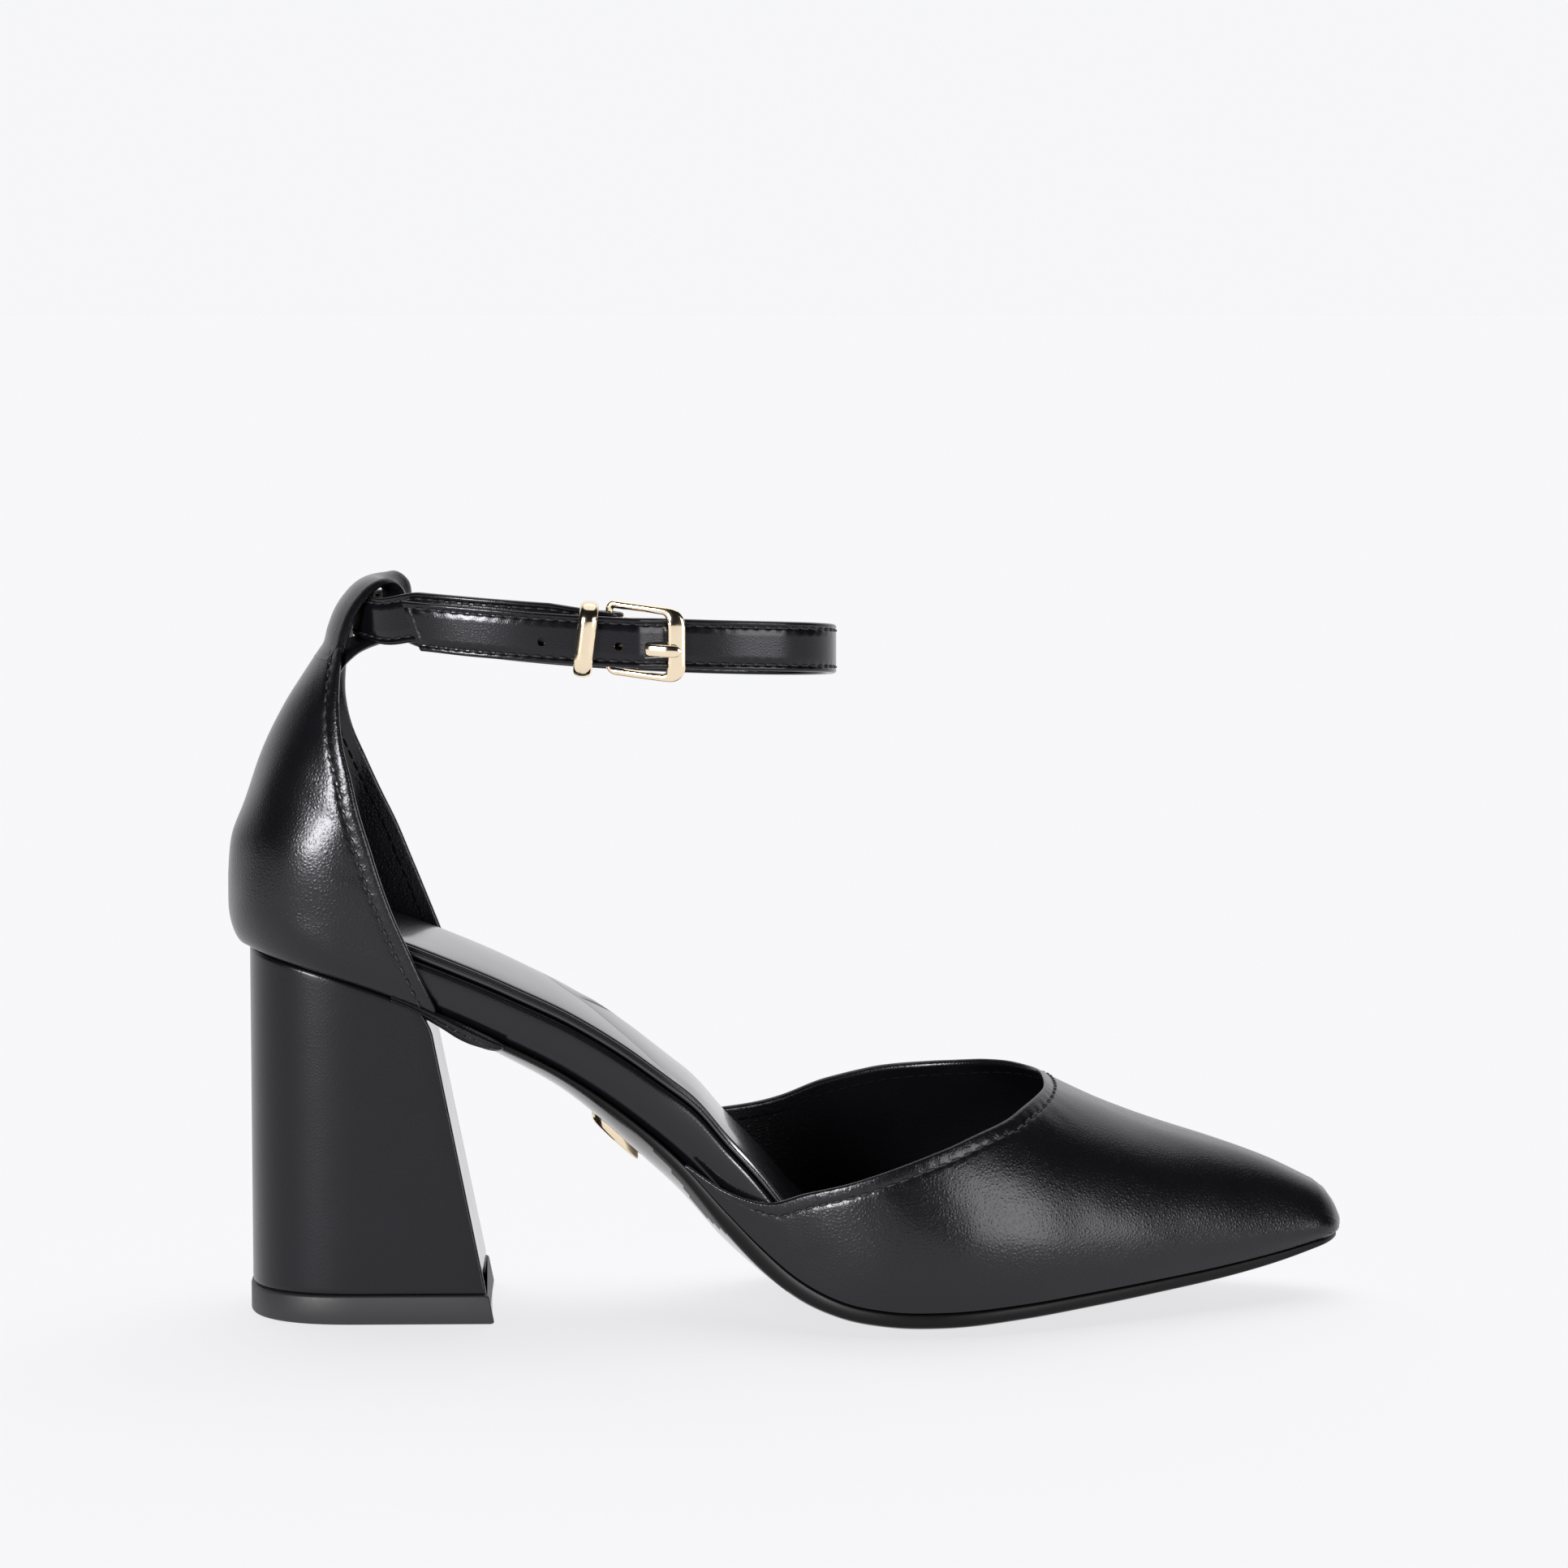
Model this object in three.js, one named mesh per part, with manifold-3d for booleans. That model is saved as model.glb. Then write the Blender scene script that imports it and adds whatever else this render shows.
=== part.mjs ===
// Pointed two-piece court shoe with a block heel and a buckled ankle strap, right foot.
// Millimetres. The origin is the middle of the heel's face on the floor.
// X points to the toe, Y to the inner side of the foot and Z up.

import * as THREE from 'three';
import { mergeVertices } from 'three/addons/utils/BufferGeometryUtils.js';
import Module from 'manifold-3d';

const wasm = await Module();
wasm.setup();

// Sizes of the last
const footLength = 249.4;
const ballWidth = 79;
const heelShare = 0.294;
const seatRise = 76.5;
const toeSpring = 9;
const archLift = 3;
const vampHeight = 48;
const noseRadius = 3.6;
const noseHead = 5.5;
const noseSwell = 0.9;
const noseSwellHeight = 4;
const noseSwellLength = 12;
const noseSetBack = 0.6;
const ridgeShift = 2;
const wallSwell = 1.4;
const sectionPower = 0.72;
const bulgeScale = 256 / 27;

// Sizes of the upper
const vampWall = 1.5;
const quarterWall = 1.6;
const counterHeight = 66.5;
const counterTuck = 3;
const counterTuckHeight = 9;
const seam = 0.3;
const quarterEase = 1.67;
const quarterWidth = 2 * (heelShare * ballWidth + quarterWall + quarterEase);

// Sizes of the bottom
const soleTop = 5.5;
const soleEdge = 3.2;
const soleMargin = 2.1;
const toeWelt = -1;
const waistBelly = 4.5;
const bellyPower = 2.6;
const edgeShare = 0.8;
const soleShares = [-0.97, -0.82, -0.6, -0.3, 0, 0.3, 0.6, 0.82, 0.97];
const breastAt = 0.19;
const boardThickness = 9.4;
const boardTuck = 3;
const boardRound = 0.6;
const boardHeelRound = 22;
const boardToeRound = 6;
const boardGap = 0.8;
const toeGap = 2.4;
const sockThickness = 2.4;
const sockRound = 1.1;
const sockInset = 0.7;

// Sizes of the heel
const heelLength = 53;
const heelWidth = 48.4;
const heelTopWidth = 45.6;
const heelOverhang = 4.4;
const breastLean = 0.2;
const heelBackPower = 2.5;
const heelBackRound = 25;
const heelCorner = 0.8;
const liftThickness = 6.3;
const liftMargin = 0.4;
const liftRound = 0.5;

// Sizes of the ankle strap and its loop
const strapWidth = 10.8;
const strapThickness = 1.9;
const ringLength = 105.4;
const ringWidth = 58;
const ringPower = 2.6;
const ringHeelPower = 2.25;
const ringClear = 6.9;
const ringDrop = 1.9;
const ringRise = 6.9;
const ringRisePower = 2.4;
const ringTilt = 0.107;
const tiltRun = [5, 15];
const ringStep = 2;
const heelStep = 0.72;
const loopSqueeze = 0.9;
const squeezeRun = [1, 11];
const lapGap = 0.35;
const strapTip = 12.4;
const tipSlant = -1.1;
const foldLength = 13;
const loopAt = 0.0866;
const loopWidth = 27;
const loopLength = 11.6;
const loopHeight = 13.2;
const loopGap = 0.5;
const loopWall = 1.5;
const loopBend = 22.5;

// Sizes of the buckle, the prong and the keeper
const buckleLength = 17;
const buckleHeight = 16.2;
const buckleBarX = 54;
const buckleShift = 0.35;
const buckleDrop = 0.35;
const barRadius = 0.9;
const railRadius = 0.85;
const frontBarWidth = 3.8;
const frameCorner = 3;
const barCorner = 1.2;
const barCorners = [0.45, 0.55];
const frontBarStart = 0.8;
const prongWidth = 2.7;
const prongThickness = 1.3;
const prongEye = 1.1;
const prongDrop = 1.4;
const prongHoleLength = 4.4;
const prongRise = 0.6;
const prongLow = 0.05;
const prongRoot = [0.9, 0.3];
const prongClimb = 0.8;
const prongClimbShare = 0.75;
const prongHoleSetBack = 4.2;
const slotClearance = 0.35;
const holeRadius = 0.9;
const holeDrop = 0.9;
const holeCount = 4;
const holePitch = 8.15;
const keeperWidth = 4.5;
const keeperWall = 1.3;
const keeperRound = 2.8;
const keeperLean = 0.09;
const keeperX = 49.2;
const keeperDrop = 0.2;
const keeperLift = 1.2;

// Size of the plain waist plate
const plateLength = 13;
const plateWidth = 7;
const plateThickness = 2.4;
const plateAt = 0.343;
const plateRound = 0.5;
const plateSlope = 0.8;

// Numbers of facets
const sideColumns = 20;
const vampRows = 9;
const quarterRows = 12;
const quarterColumns = 26;
const quarterRowPower = 1.15;
const soleGrid = 46;
const endShares = [0.01, 0.05, 0.14, 0.3, 0.55, 0.85];
const ringSteps = 84;
const backSteps = 14;
const foldSteps = 3;
const bendSteps = 8;
const underSteps = 5;
const holeSteps = 14;
const eyeSteps = 7;
const heelRows = 8;
const heelCornerSteps = 4;
const heelBackSteps = 12;
const buckleCornerSteps = 4;
const keeperCornerSteps = 5;
const plateSteps = 28;
const loopSteps = 26;
const loopBends = 6;
const settlePasses = 8;
const joinDistance = 0.0005;

const counterBack = -heelLength / 2 - heelOverhang;
const seatBack = soleTop + seatRise;
const ringBack = counterBack + loopAt * footLength + ringClear;
const heelTopZ = (x) => featherZ(shareOf(x), -1) - seam;

// The last, from the back of the heel to the toe. Widths are shares of the ball width, rise of
// the seat's rise, spring of the toe spring, arch of the arch lift and crest of the vamp height.
const lastTable = [
  { at: 0.02, outer: 0.266, inner: 0.266, rise: 1.0, spring: 0, arch: 0, crest: 1.5 },
  { at: 0.1, outer: 0.29, inner: 0.29, rise: 0.929, spring: 0, arch: 0, crest: 1.5 },
  { at: 0.18, outer: heelShare, inner: heelShare, rise: 0.833, spring: 0, arch: 0.05, crest: 1.5 },
  { at: 0.24, outer: 0.282, inner: 0.276, rise: 0.746, spring: 0, arch: 0.15, crest: 1.5 },
  { at: 0.3, outer: 0.27, inner: 0.258, rise: 0.644, spring: 0, arch: 0.1, crest: 1.5 },
  { at: 0.36, outer: 0.278, inner: 0.266, rise: 0.511, spring: 0, arch: -0.25, crest: 1.54 },
  { at: 0.4, outer: 0.302, inner: 0.287, rise: 0.404, spring: 0, arch: -0.7, crest: 1.56 },
  { at: 0.44, outer: 0.346, inner: 0.324, rise: 0.268, spring: 0, arch: -1.05, crest: 1.62 },
  { at: 0.47, outer: 0.388, inner: 0.36, rise: 0.174, spring: 0, arch: -1.1, crest: 1.66 },
  { at: 0.5, outer: 0.428, inner: 0.395, rise: 0.094, spring: 0, arch: -0.95, crest: 1.65 },
  { at: 0.54, outer: 0.474, inner: 0.438, rise: 0.03, spring: 0, arch: -0.5, crest: 1.58 },
  { at: 0.58, outer: 0.497, inner: 0.466, rise: 0.005, spring: 0, arch: -0.15, crest: 1.46 },
  { at: 0.63, outer: 0.496, inner: 0.481, rise: 0, spring: 0, arch: 0, crest: 1.26 },
  { at: 0.7, outer: 0.442, inner: 0.466, rise: 0, spring: 0.1, arch: 0, crest: 1 },
  { at: 0.76, outer: 0.354, inner: 0.428, rise: 0, spring: 0.225, arch: 0, crest: 0.81 },
  { at: 0.82, outer: 0.256, inner: 0.367, rise: 0, spring: 0.36, arch: 0, crest: 0.655 },
  { at: 0.88, outer: 0.148, inner: 0.304, rise: 0, spring: 0.5, arch: 0, crest: 0.53 },
  { at: 0.94, outer: 0.043, inner: 0.24, rise: 0, spring: 0.71, arch: 0, crest: 0.373 },
  { at: 1, outer: -0.063, inner: 0.172, rise: 0, spring: 1, arch: 0, crest: 0.15 },
];

// The vamp's topline on both sides, from a wing's tip to the middle of the throat. Up is a share
// of the section's height, outer and inner are shares of the foot's length.
const toplineTable = [
  { step: 0, outerUp: 0, innerUp: 0, outer: 0.404, inner: 0.389 },
  { step: 0.05, outerUp: 0.05, innerUp: 0.0725, outer: 0.438, inner: 0.411 },
  { step: 0.1, outerUp: 0.118, innerUp: 0.145, outer: 0.469, inner: 0.433 },
  { step: 0.2, outerUp: 0.267, innerUp: 0.305, outer: 0.514, inner: 0.477 },
  { step: 0.3, outerUp: 0.446, innerUp: 0.475, outer: 0.584, inner: 0.526 },
  { step: 0.4, outerUp: 0.576, innerUp: 0.59, outer: 0.628, inner: 0.576 },
  { step: 0.5, outerUp: 0.672, innerUp: 0.68, outer: 0.656, inner: 0.614 },
  { step: 0.6, outerUp: 0.78, innerUp: 0.785, outer: 0.685, inner: 0.654 },
  { step: 0.7, outerUp: 0.87, innerUp: 0.872, outer: 0.703, inner: 0.682 },
  { step: 0.8, outerUp: 0.93, innerUp: 0.93, outer: 0.715, inner: 0.701 },
  { step: 0.9, outerUp: 0.975, innerUp: 0.975, outer: 0.724, inner: 0.719 },
  { step: 1, outerUp: 1, innerUp: 1, outer: 0.7275, inner: 0.7275 },
];

// The quarter by height above the back of the seat, a share of the counter's height. Width is a
// share of the quarter's width, the others are shares of the foot's length.
const quarterTable = [
  { up: -0.18, back: 0.002, width: 0.483, outer: 0.186, inner: 0.202 },
  { up: 0, back: 0.002, width: 0.491, outer: 0.165, inner: 0.183 },
  { up: 0.13, back: 0, width: 0.5, outer: 0.15, inner: 0.169 },
  { up: 0.25, back: 0, width: 0.5, outer: 0.1385, inner: 0.156 },
  { up: 0.36, back: 0.004, width: 0.496, outer: 0.1295, inner: 0.144 },
  { up: 0.47, back: 0.015, width: 0.485, outer: 0.1205, inner: 0.13 },
  { up: 0.58, back: 0.025, width: 0.47, outer: 0.1135, inner: 0.117 },
  { up: 0.69, back: 0.037, width: 0.456, outer: 0.106, inner: 0.105 },
  { up: 0.8, back: 0.052, width: 0.441, outer: 0.1026, inner: 0.0995 },
  { up: 0.9, back: 0.069, width: 0.43, outer: 0.1026, inner: 0.1005 },
  { up: 1, back: loopAt, width: 0.426, outer: 0.1038, inner: 0.1038 },
];

// The bottom pieces along the foot. Board is a share of the board's thickness, edge of the
// sole's edge, belly of the waist's belly and margin of the sole's margin.
const bottomTable = [
  { at: 0.02, board: 1, edge: 0.3, belly: 0.6, margin: -0.8 },
  { at: 0.18, board: 1, edge: 0.3, belly: 0.6, margin: -0.8 },
  { at: 0.24, board: 1, edge: 0.3, belly: 0.9, margin: -0.8 },
  { at: 0.3, board: 1, edge: 0.3, belly: 1.1, margin: -0.8 },
  { at: 0.36, board: 1, edge: 0.5, belly: 1.5, margin: -0.6 },
  { at: 0.4, board: 1, edge: 0.9, belly: 1.3, margin: -0.3 },
  { at: 0.44, board: 1.02, edge: 1.4, belly: 0.95, margin: 0.3 },
  { at: 0.47, board: 1.05, edge: 1.5, belly: 0.62, margin: 0.8 },
  { at: 0.5, board: 0.9, edge: 1.35, belly: 0.45, margin: 1 },
  { at: 0.54, board: 0.62, edge: 1.1, belly: 0.48, margin: 1 },
  { at: 0.58, board: 0.4, edge: 1, belly: 0.62, margin: 1 },
  { at: 0.63, board: 0.3, edge: 1, belly: 0.55, margin: 1 },
  { at: 0.7, board: 0.28, edge: 0.95, belly: 0.42, margin: 1 },
  { at: 0.82, board: 0.27, edge: 0.85, belly: 0.2, margin: 1 },
  { at: 0.94, board: 0.27, edge: 0.6, belly: 0.05, margin: 1 },
  { at: 1, board: 0.27, edge: 0.25, belly: 0, margin: 1 },
];

// The side of the insole board from its foot up. Tuck is a share of the board's tuck.
const boardSide = [
  { up: 0, tuck: 1 },
  { up: 0.14, tuck: 0.5 },
  { up: 0.4, tuck: 0.12 },
  { up: 0.72, tuck: 0 },
  { up: 0.93, tuck: 0 },
];

// The side of the sock from its foot up. Tuck is a share of the sock's rounding.
const sockSide = [
  { up: 0, tuck: 1 },
  { up: 0.2, tuck: 0.25 },
  { up: 0.55, tuck: 0 },
  { up: 0.85, tuck: 0.33 },
  { up: 1, tuck: 1 },
];

// The loop's middle line in its own plane, shares of the loop's length and height.
const loopTable = [
  { step: 0, along: 0, up: 0.17 },
  { step: 1, along: 0.09, up: 0.38 },
  { step: 2, along: 0.2, up: 0.64 },
  { step: 3, along: 0.4, up: 0.88 },
  { step: 4, along: 0.64, up: 1 },
  { step: 5, along: 0.86, up: 0.97 },
  { step: 6, along: 0.98, up: 0.8 },
  { step: 7, along: 1, up: 0.55 },
  { step: 8, along: 0.9, up: 0.22 },
  { step: 9, along: 0.7, up: -0.02 },
  { step: 10, along: 0.42, up: -0.08 },
  { step: 11, along: 0.19, up: -0.03 },
  { step: 12, along: 0, up: 0.17 },
];

// A smooth value of one column of a table
function tableValue(table, column, at, key = 'at') {
  const last = table.length - 1;
  if (at <= table[0][key]) return table[0][column];
  if (at >= table[last][key]) return table[last][column];
  let row = 0;
  while (at > table[row + 1][key]) row += 1;
  const span = (i) => table[i + 1][key] - table[i][key];
  const slope = (i) => (table[i + 1][column] - table[i][column]) / span(i);
  const tangent = (i) => {
    if (i === 0) return slope(0);
    if (i === last) return slope(last - 1);
    return (slope(i - 1) * span(i) + slope(i) * span(i - 1)) / (span(i - 1) + span(i));
  };
  const h = span(row);
  const t = (at - table[row][key]) / h;
  const rise = table[row + 1][column] - table[row][column];
  const bend = t * (1 - t) * h * (tangent(row) * (1 - t) - tangent(row + 1) * t);
  return table[row][column] + rise * t * t * (3 - 2 * t) + bend;
}

const mix = (a, b, t) => a + (b - a) * t;
const shareOf = (x) => (x - counterBack) / footLength;
const xOf = (at) => counterBack + at * footLength;

// A quarter ellipse from 0 at the end of a form to 1 at the length of its rounding
function roundEnd(distance, length, power = 2) {
  const left = Math.min(Math.max(distance / length, 0), 1);
  return (1 - (1 - left) ** power) ** (1 / power);
}

// Height of the line where the upper meets the sole. Side is -1 on the outer side.
function featherZ(at, side) {
  const level = soleTop + seatRise * tableValue(lastTable, 'rise', at);
  const spring = toeSpring * tableValue(lastTable, 'spring', at);
  const lift = archLift * tableValue(lastTable, 'arch', at) * (1 + side) / 2;
  return level + spring + lift;
}

// Height of the last's underside at any place across the foot
function bedZ(at, y) {
  const share = (y - lastEdge(at, -1)) / (lastEdge(at, 1) - lastEdge(at, -1));
  return mix(featherZ(at, -1), featherZ(at, 1), share);
}

function lastEdge(at, side) {
  return side * ballWidth * tableValue(lastTable, side < 0 ? 'outer' : 'inner', at);
}

// A point on the last, grown by a margin. Height goes from 0 at the feather line to 1 at the crest.
function lastPoint(at, height, side, margin) {
  const tip = xOf(1) - vampWall - seam - noseSetBack + margin;
  const x = Math.min(xOf(at), tip);
  const share = shareOf(x);
  const nose = roundEnd(tip - x, noseRadius);
  const middle = (lastEdge(share, 1) + lastEdge(share, -1)) / 2 + ridgeShift;
  const edge = lastEdge(share, side) + side * margin;
  const sine = Math.min(height, 1) ** (1 / sectionPower);
  const across = Math.max(1 - sine * sine, 0) ** (sectionPower / 2);
  const swell = wallSwell * bulgeScale * height * (1 - height) ** 3;
  const y = middle + ((edge - middle) * across + side * swell) * nose;
  const foot = featherZ(share, side) * (1 - sine) + featherZ(share, 0) * sine;
  const tall = vampHeight * tableValue(lastTable, 'crest', share) - vampWall - seam + margin;
  const up = tall * height * roundEnd(tip - x, noseHead);
  const near = Math.max(1 - (tip - x) / noseSwellLength, 0);
  const forward = noseSwell * near * near * roundEnd(up, noseSwellHeight);
  return new THREE.Vector3(x + forward, y, foot + up);
}

function geometryOf(points, faces) {
  const geometry = new THREE.BufferGeometry();
  const flat = points.flatMap((point) => [point.x, point.y, point.z]);
  geometry.setAttribute('position', new THREE.Float32BufferAttribute(flat, 3));
  geometry.setIndex(faces.flat());
  return facingOut(geometry);
}

// Joins equal corners, drops faces without area and turns the faces outwards
function facingOut(source) {
  const geometry = mergeVertices(source, joinDistance);
  const position = geometry.getAttribute('position');
  const corner = (i) => new THREE.Vector3().fromBufferAttribute(position, i);
  const index = geometry.getIndex().array;
  const kept = [];
  let volume = 0;
  for (let i = 0; i < index.length; i += 3) {
    const [a, b, c] = [index[i], index[i + 1], index[i + 2]];
    if (a === b || b === c || c === a) continue;
    kept.push([a, b, c]);
    volume += corner(a).dot(corner(b).cross(corner(c)));
  }
  const turned = volume < 0 ? kept.map(([a, b, c]) => [a, c, b]) : kept;
  geometry.setIndex(turned.flat());
  geometry.computeVertexNormals();
  return geometry;
}

// Faces between neighbouring rows of points
function gridFaces(rows, columns, start, wrapRows, wrapColumns) {
  const faces = [];
  const rowCount = wrapRows ? rows : rows - 1;
  const columnCount = wrapColumns ? columns : columns - 1;
  for (let i = 0; i < rowCount; i += 1) {
    for (let j = 0; j < columnCount; j += 1) {
      const a = start + i * columns + j;
      const b = start + i * columns + ((j + 1) % columns);
      const c = start + ((i + 1) % rows) * columns + ((j + 1) % columns);
      const d = start + ((i + 1) % rows) * columns + j;
      faces.push([a, b, c], [a, c, d]);
    }
  }
  return faces;
}

// A wall between an outer and an inner grid, closed along its four edges
function wallSolid(outer, inner) {
  const rows = outer.length;
  const columns = outer[0].length;
  const count = rows * columns;
  const points = [...outer.flat(), ...inner.flat()];
  const faces = gridFaces(rows, columns, 0, false, false);
  gridFaces(rows, columns, count, false, false).forEach(([a, b, c]) => faces.push([a, c, b]));
  const rim = [];
  for (let j = 0; j < columns - 1; j += 1) rim.push(j);
  for (let i = 0; i < rows - 1; i += 1) rim.push(i * columns + columns - 1);
  for (let j = columns - 1; j > 0; j -= 1) rim.push((rows - 1) * columns + j);
  for (let i = rows - 1; i > 0; i -= 1) rim.push(i * columns);
  rim.forEach((from, i) => {
    const to = rim[(i + 1) % rim.length];
    faces.push([from, from + count, to + count], [from, to + count, to]);
  });
  return geometryOf(points, faces);
}

// A solid through a row of closed rings, with each end filled across from side to side
function loftSolid(rings) {
  const count = rings[0].length;
  const faces = gridFaces(rings.length, count, 0, false, true);
  const endFaces = (start, turned) => {
    for (let i = 0; i < Math.floor((count - 1) / 2); i += 1) {
      const [a, b] = [start + i, start + i + 1];
      const [c, d] = [start + count - 2 - i, start + count - 1 - i];
      const pair = b === c ? [[a, b, d]] : [[a, b, c], [a, c, d]];
      pair.forEach((face) => faces.push(turned ? [...face].reverse() : face));
    }
  };
  endFaces(0, true);
  endFaces((rings.length - 1) * count, false);
  return geometryOf(rings.flat(), faces);
}

// A solid ring through closed rings that meet again at the end
function hoopSolid(rings) {
  return geometryOf(rings.flat(), gridFaces(rings.length, rings[0].length, 0, true, true));
}

function toSolid(geometry) {
  const bare = geometry.index ? geometry.toNonIndexed() : geometry.clone();
  bare.deleteAttribute('normal');
  bare.deleteAttribute('uv');
  const merged = facingOut(bare.index ? bare : mergeVertices(bare));
  return new wasm.Manifold(new wasm.Mesh({
    numProp: 3,
    vertProperties: Float32Array.from(merged.getAttribute('position').array),
    triVerts: Uint32Array.from(merged.getIndex().array),
  }));
}

function fromSolid(solid) {
  const mesh = solid.getMesh();
  const geometry = new THREE.BufferGeometry();
  geometry.setAttribute('position', new THREE.BufferAttribute(mesh.vertProperties, 3));
  geometry.setIndex(new THREE.BufferAttribute(mesh.triVerts, 1));
  geometry.computeVertexNormals();
  return geometry;
}

// Stations on one grid for every bottom piece, with closer ones over the piece's round ends
function stations(back, front, backRound, frontRound) {
  const first = backRound > 0 ? endShares.map((share) => back + share * backRound) : [back];
  const last = endShares.map((share) => front - share * frontRound).reverse();
  const grid = Array.from({ length: soleGrid }, (_, i) => xOf(i / soleGrid));
  const inside = grid.filter((x) => x > back + backRound + seam && x < front - frontRound - seam);
  return [...first, ...inside, ...last].map(shareOf);
}

// The vamp: columns run from the feather line to the topline, from one wing round the toe to
// the other
function vampGrid(margin) {
  const fanEnd = 0.86;
  const fanPower = 1.6;
  const rowPower = 1.6;
  const throat = toplineTable[toplineTable.length - 1].outer;
  const columns = [];
  const column = (step, side) => {
    const top = tableValue(toplineTable, side < 0 ? 'outer' : 'inner', step, 'step');
    const height = tableValue(toplineTable, side < 0 ? 'outerUp' : 'innerUp', step, 'step');
    const spread = Math.min(step / fanEnd, 1);
    const foot = Math.min(top + (1 - throat) * spread ** fanPower, 1);
    const start = step > fanEnd ? 1 : foot;
    const footHeight = Math.max((step - fanEnd) / (1 - fanEnd), 0);
    return Array.from({ length: vampRows + 1 }, (_, i) => {
      const v = i / vampRows;
      return lastPoint(mix(start, top, v ** rowPower), mix(footHeight, height, v), side, margin);
    });
  };
  for (let i = 0; i <= sideColumns; i += 1) columns.push(column(i / sideColumns, -1));
  for (let i = sideColumns - 1; i >= 0; i -= 1) columns.push(column(i / sideColumns, 1));
  return columns;
}

function vamp() {
  return wallSolid(vampGrid(vampWall + seam), vampGrid(seam));
}

// A point on the quarter. Round goes from -1 at the outer front edge over 0 at the back to 1.
function quarterPoint(up, round, inset) {
  const side = round < 0 ? -1 : 1;
  let z = seatBack + up * counterHeight;
  let x = counterBack;
  let y = 0;
  for (let pass = 0; pass < settlePasses; pass += 1) {
    const level = (z - seatBack) / counterHeight;
    const value = (column) => tableValue(quarterTable, column, level, 'up');
    const above = z - heelTopZ(x) - seam;
    const tuck = counterTuck * (1 - roundEnd(above, counterTuckHeight));
    const radius = quarterWidth * value('width') - tuck - inset;
    const back = xOf(value('back')) + tuck + inset;
    const front = xOf(value(side < 0 ? 'outer' : 'inner'));
    const arc = Math.PI / 2 * radius;
    const straight = front - back - radius;
    const turn = straight > 0 ? Math.PI / 2 : Math.acos(Math.max(1 - (front - back) / radius, -1));
    const length = straight > 0 ? arc + straight : turn * radius;
    const along = Math.abs(round) * length;
    const angle = Math.min(along / radius, turn);
    x = back + radius * (1 - Math.cos(angle)) + Math.max(along - turn * radius, 0);
    y = side * radius * Math.sin(angle);
    const low = heelTopZ(x) + seam;
    z = mix(low, seatBack + counterHeight, up);
  }
  return new THREE.Vector3(x, y, z);
}

function quarterGrid(inset) {
  return Array.from({ length: quarterRows + 1 }, (_, i) => {
    const up = (i / quarterRows) ** quarterRowPower;
    return Array.from({ length: quarterColumns + 1 }, (__, j) =>
      quarterPoint(up, 2 * j / quarterColumns - 1, inset));
  });
}

function quarter() {
  return wallSolid(quarterGrid(0), quarterGrid(quarterWall));
}

// Where the insole board ends, before the counter's and the vamp's walls
const boardBack = (inset) => counterBack + counterTuck + quarterWall + boardGap + inset;
const boardFront = (inset) => xOf(1) - vampWall - noseSetBack - toeGap - inset;

// The insole board's edge on one side, round at the heel and at the toe. Inset moves the whole
// outline inwards, tuck only its sides.
function boardEdge(at, side, inset, tuck) {
  const x = xOf(at);
  const heelRound = roundEnd(x - boardBack(inset), boardHeelRound - inset);
  const toeRound = roundEnd(boardFront(inset) - x, boardToeRound);
  const middle = (lastEdge(at, 1) + lastEdge(at, -1)) / 2;
  const half = Math.abs(lastEdge(at, side) - side * (inset + tuck) - middle);
  return middle + side * half * heelRound * toeRound;
}

function boardStations(inset) {
  return stations(boardBack(inset), boardFront(inset), boardHeelRound, boardToeRound);
}

// The board's thickness measured straight up, so that it is even along the slope
function boardRise(at) {
  const reach = 0.01;
  const drop = featherZ(at - reach, 0) - featherZ(at + reach, 0);
  const slope = drop / (2 * reach * footLength);
  return boardThickness * tableValue(bottomTable, 'board', at) * Math.hypot(1, slope);
}

function board() {
  return loftSolid(boardStations(0).map((at) => {
    const rise = boardRise(at);
    const point = (sign, tuck, up) => {
      const y = boardEdge(at, sign, 0, tuck);
      return new THREE.Vector3(xOf(at), y, bedZ(at, y) + up * rise);
    };
    const thin = Math.min(rise / boardThickness, 1);
    const side = (sign) => boardSide.map((row) => point(sign, boardTuck * row.tuck * thin, row.up));
    return [...side(-1), point(-1, boardRound, 1), point(1, boardRound, 1), ...side(1).reverse()];
  }));
}

function sock() {
  return loftSolid(boardStations(sockInset).map((at) => {
    const low = boardRise(at) + 2 * seam;
    const point = (sign, tuck, up) => {
      const y = boardEdge(at, sign, sockInset, tuck);
      return new THREE.Vector3(xOf(at), y, bedZ(at, y) + low + up * sockThickness);
    };
    const side = (sign) => sockSide.map((row) => point(sign, sockRound * row.tuck, row.up));
    return [...side(-1), ...side(1).reverse()];
  }));
}

// Height of the outsole's underside at a share of its half width
function soleBottomZ(at, y, share) {
  const edge = soleEdge * tableValue(bottomTable, 'edge', at);
  const belly = waistBelly * tableValue(bottomTable, 'belly', at);
  return Math.max(bedZ(at, y) - seam - edge - belly * (1 - Math.abs(share) ** bellyPower), 0);
}

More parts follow.
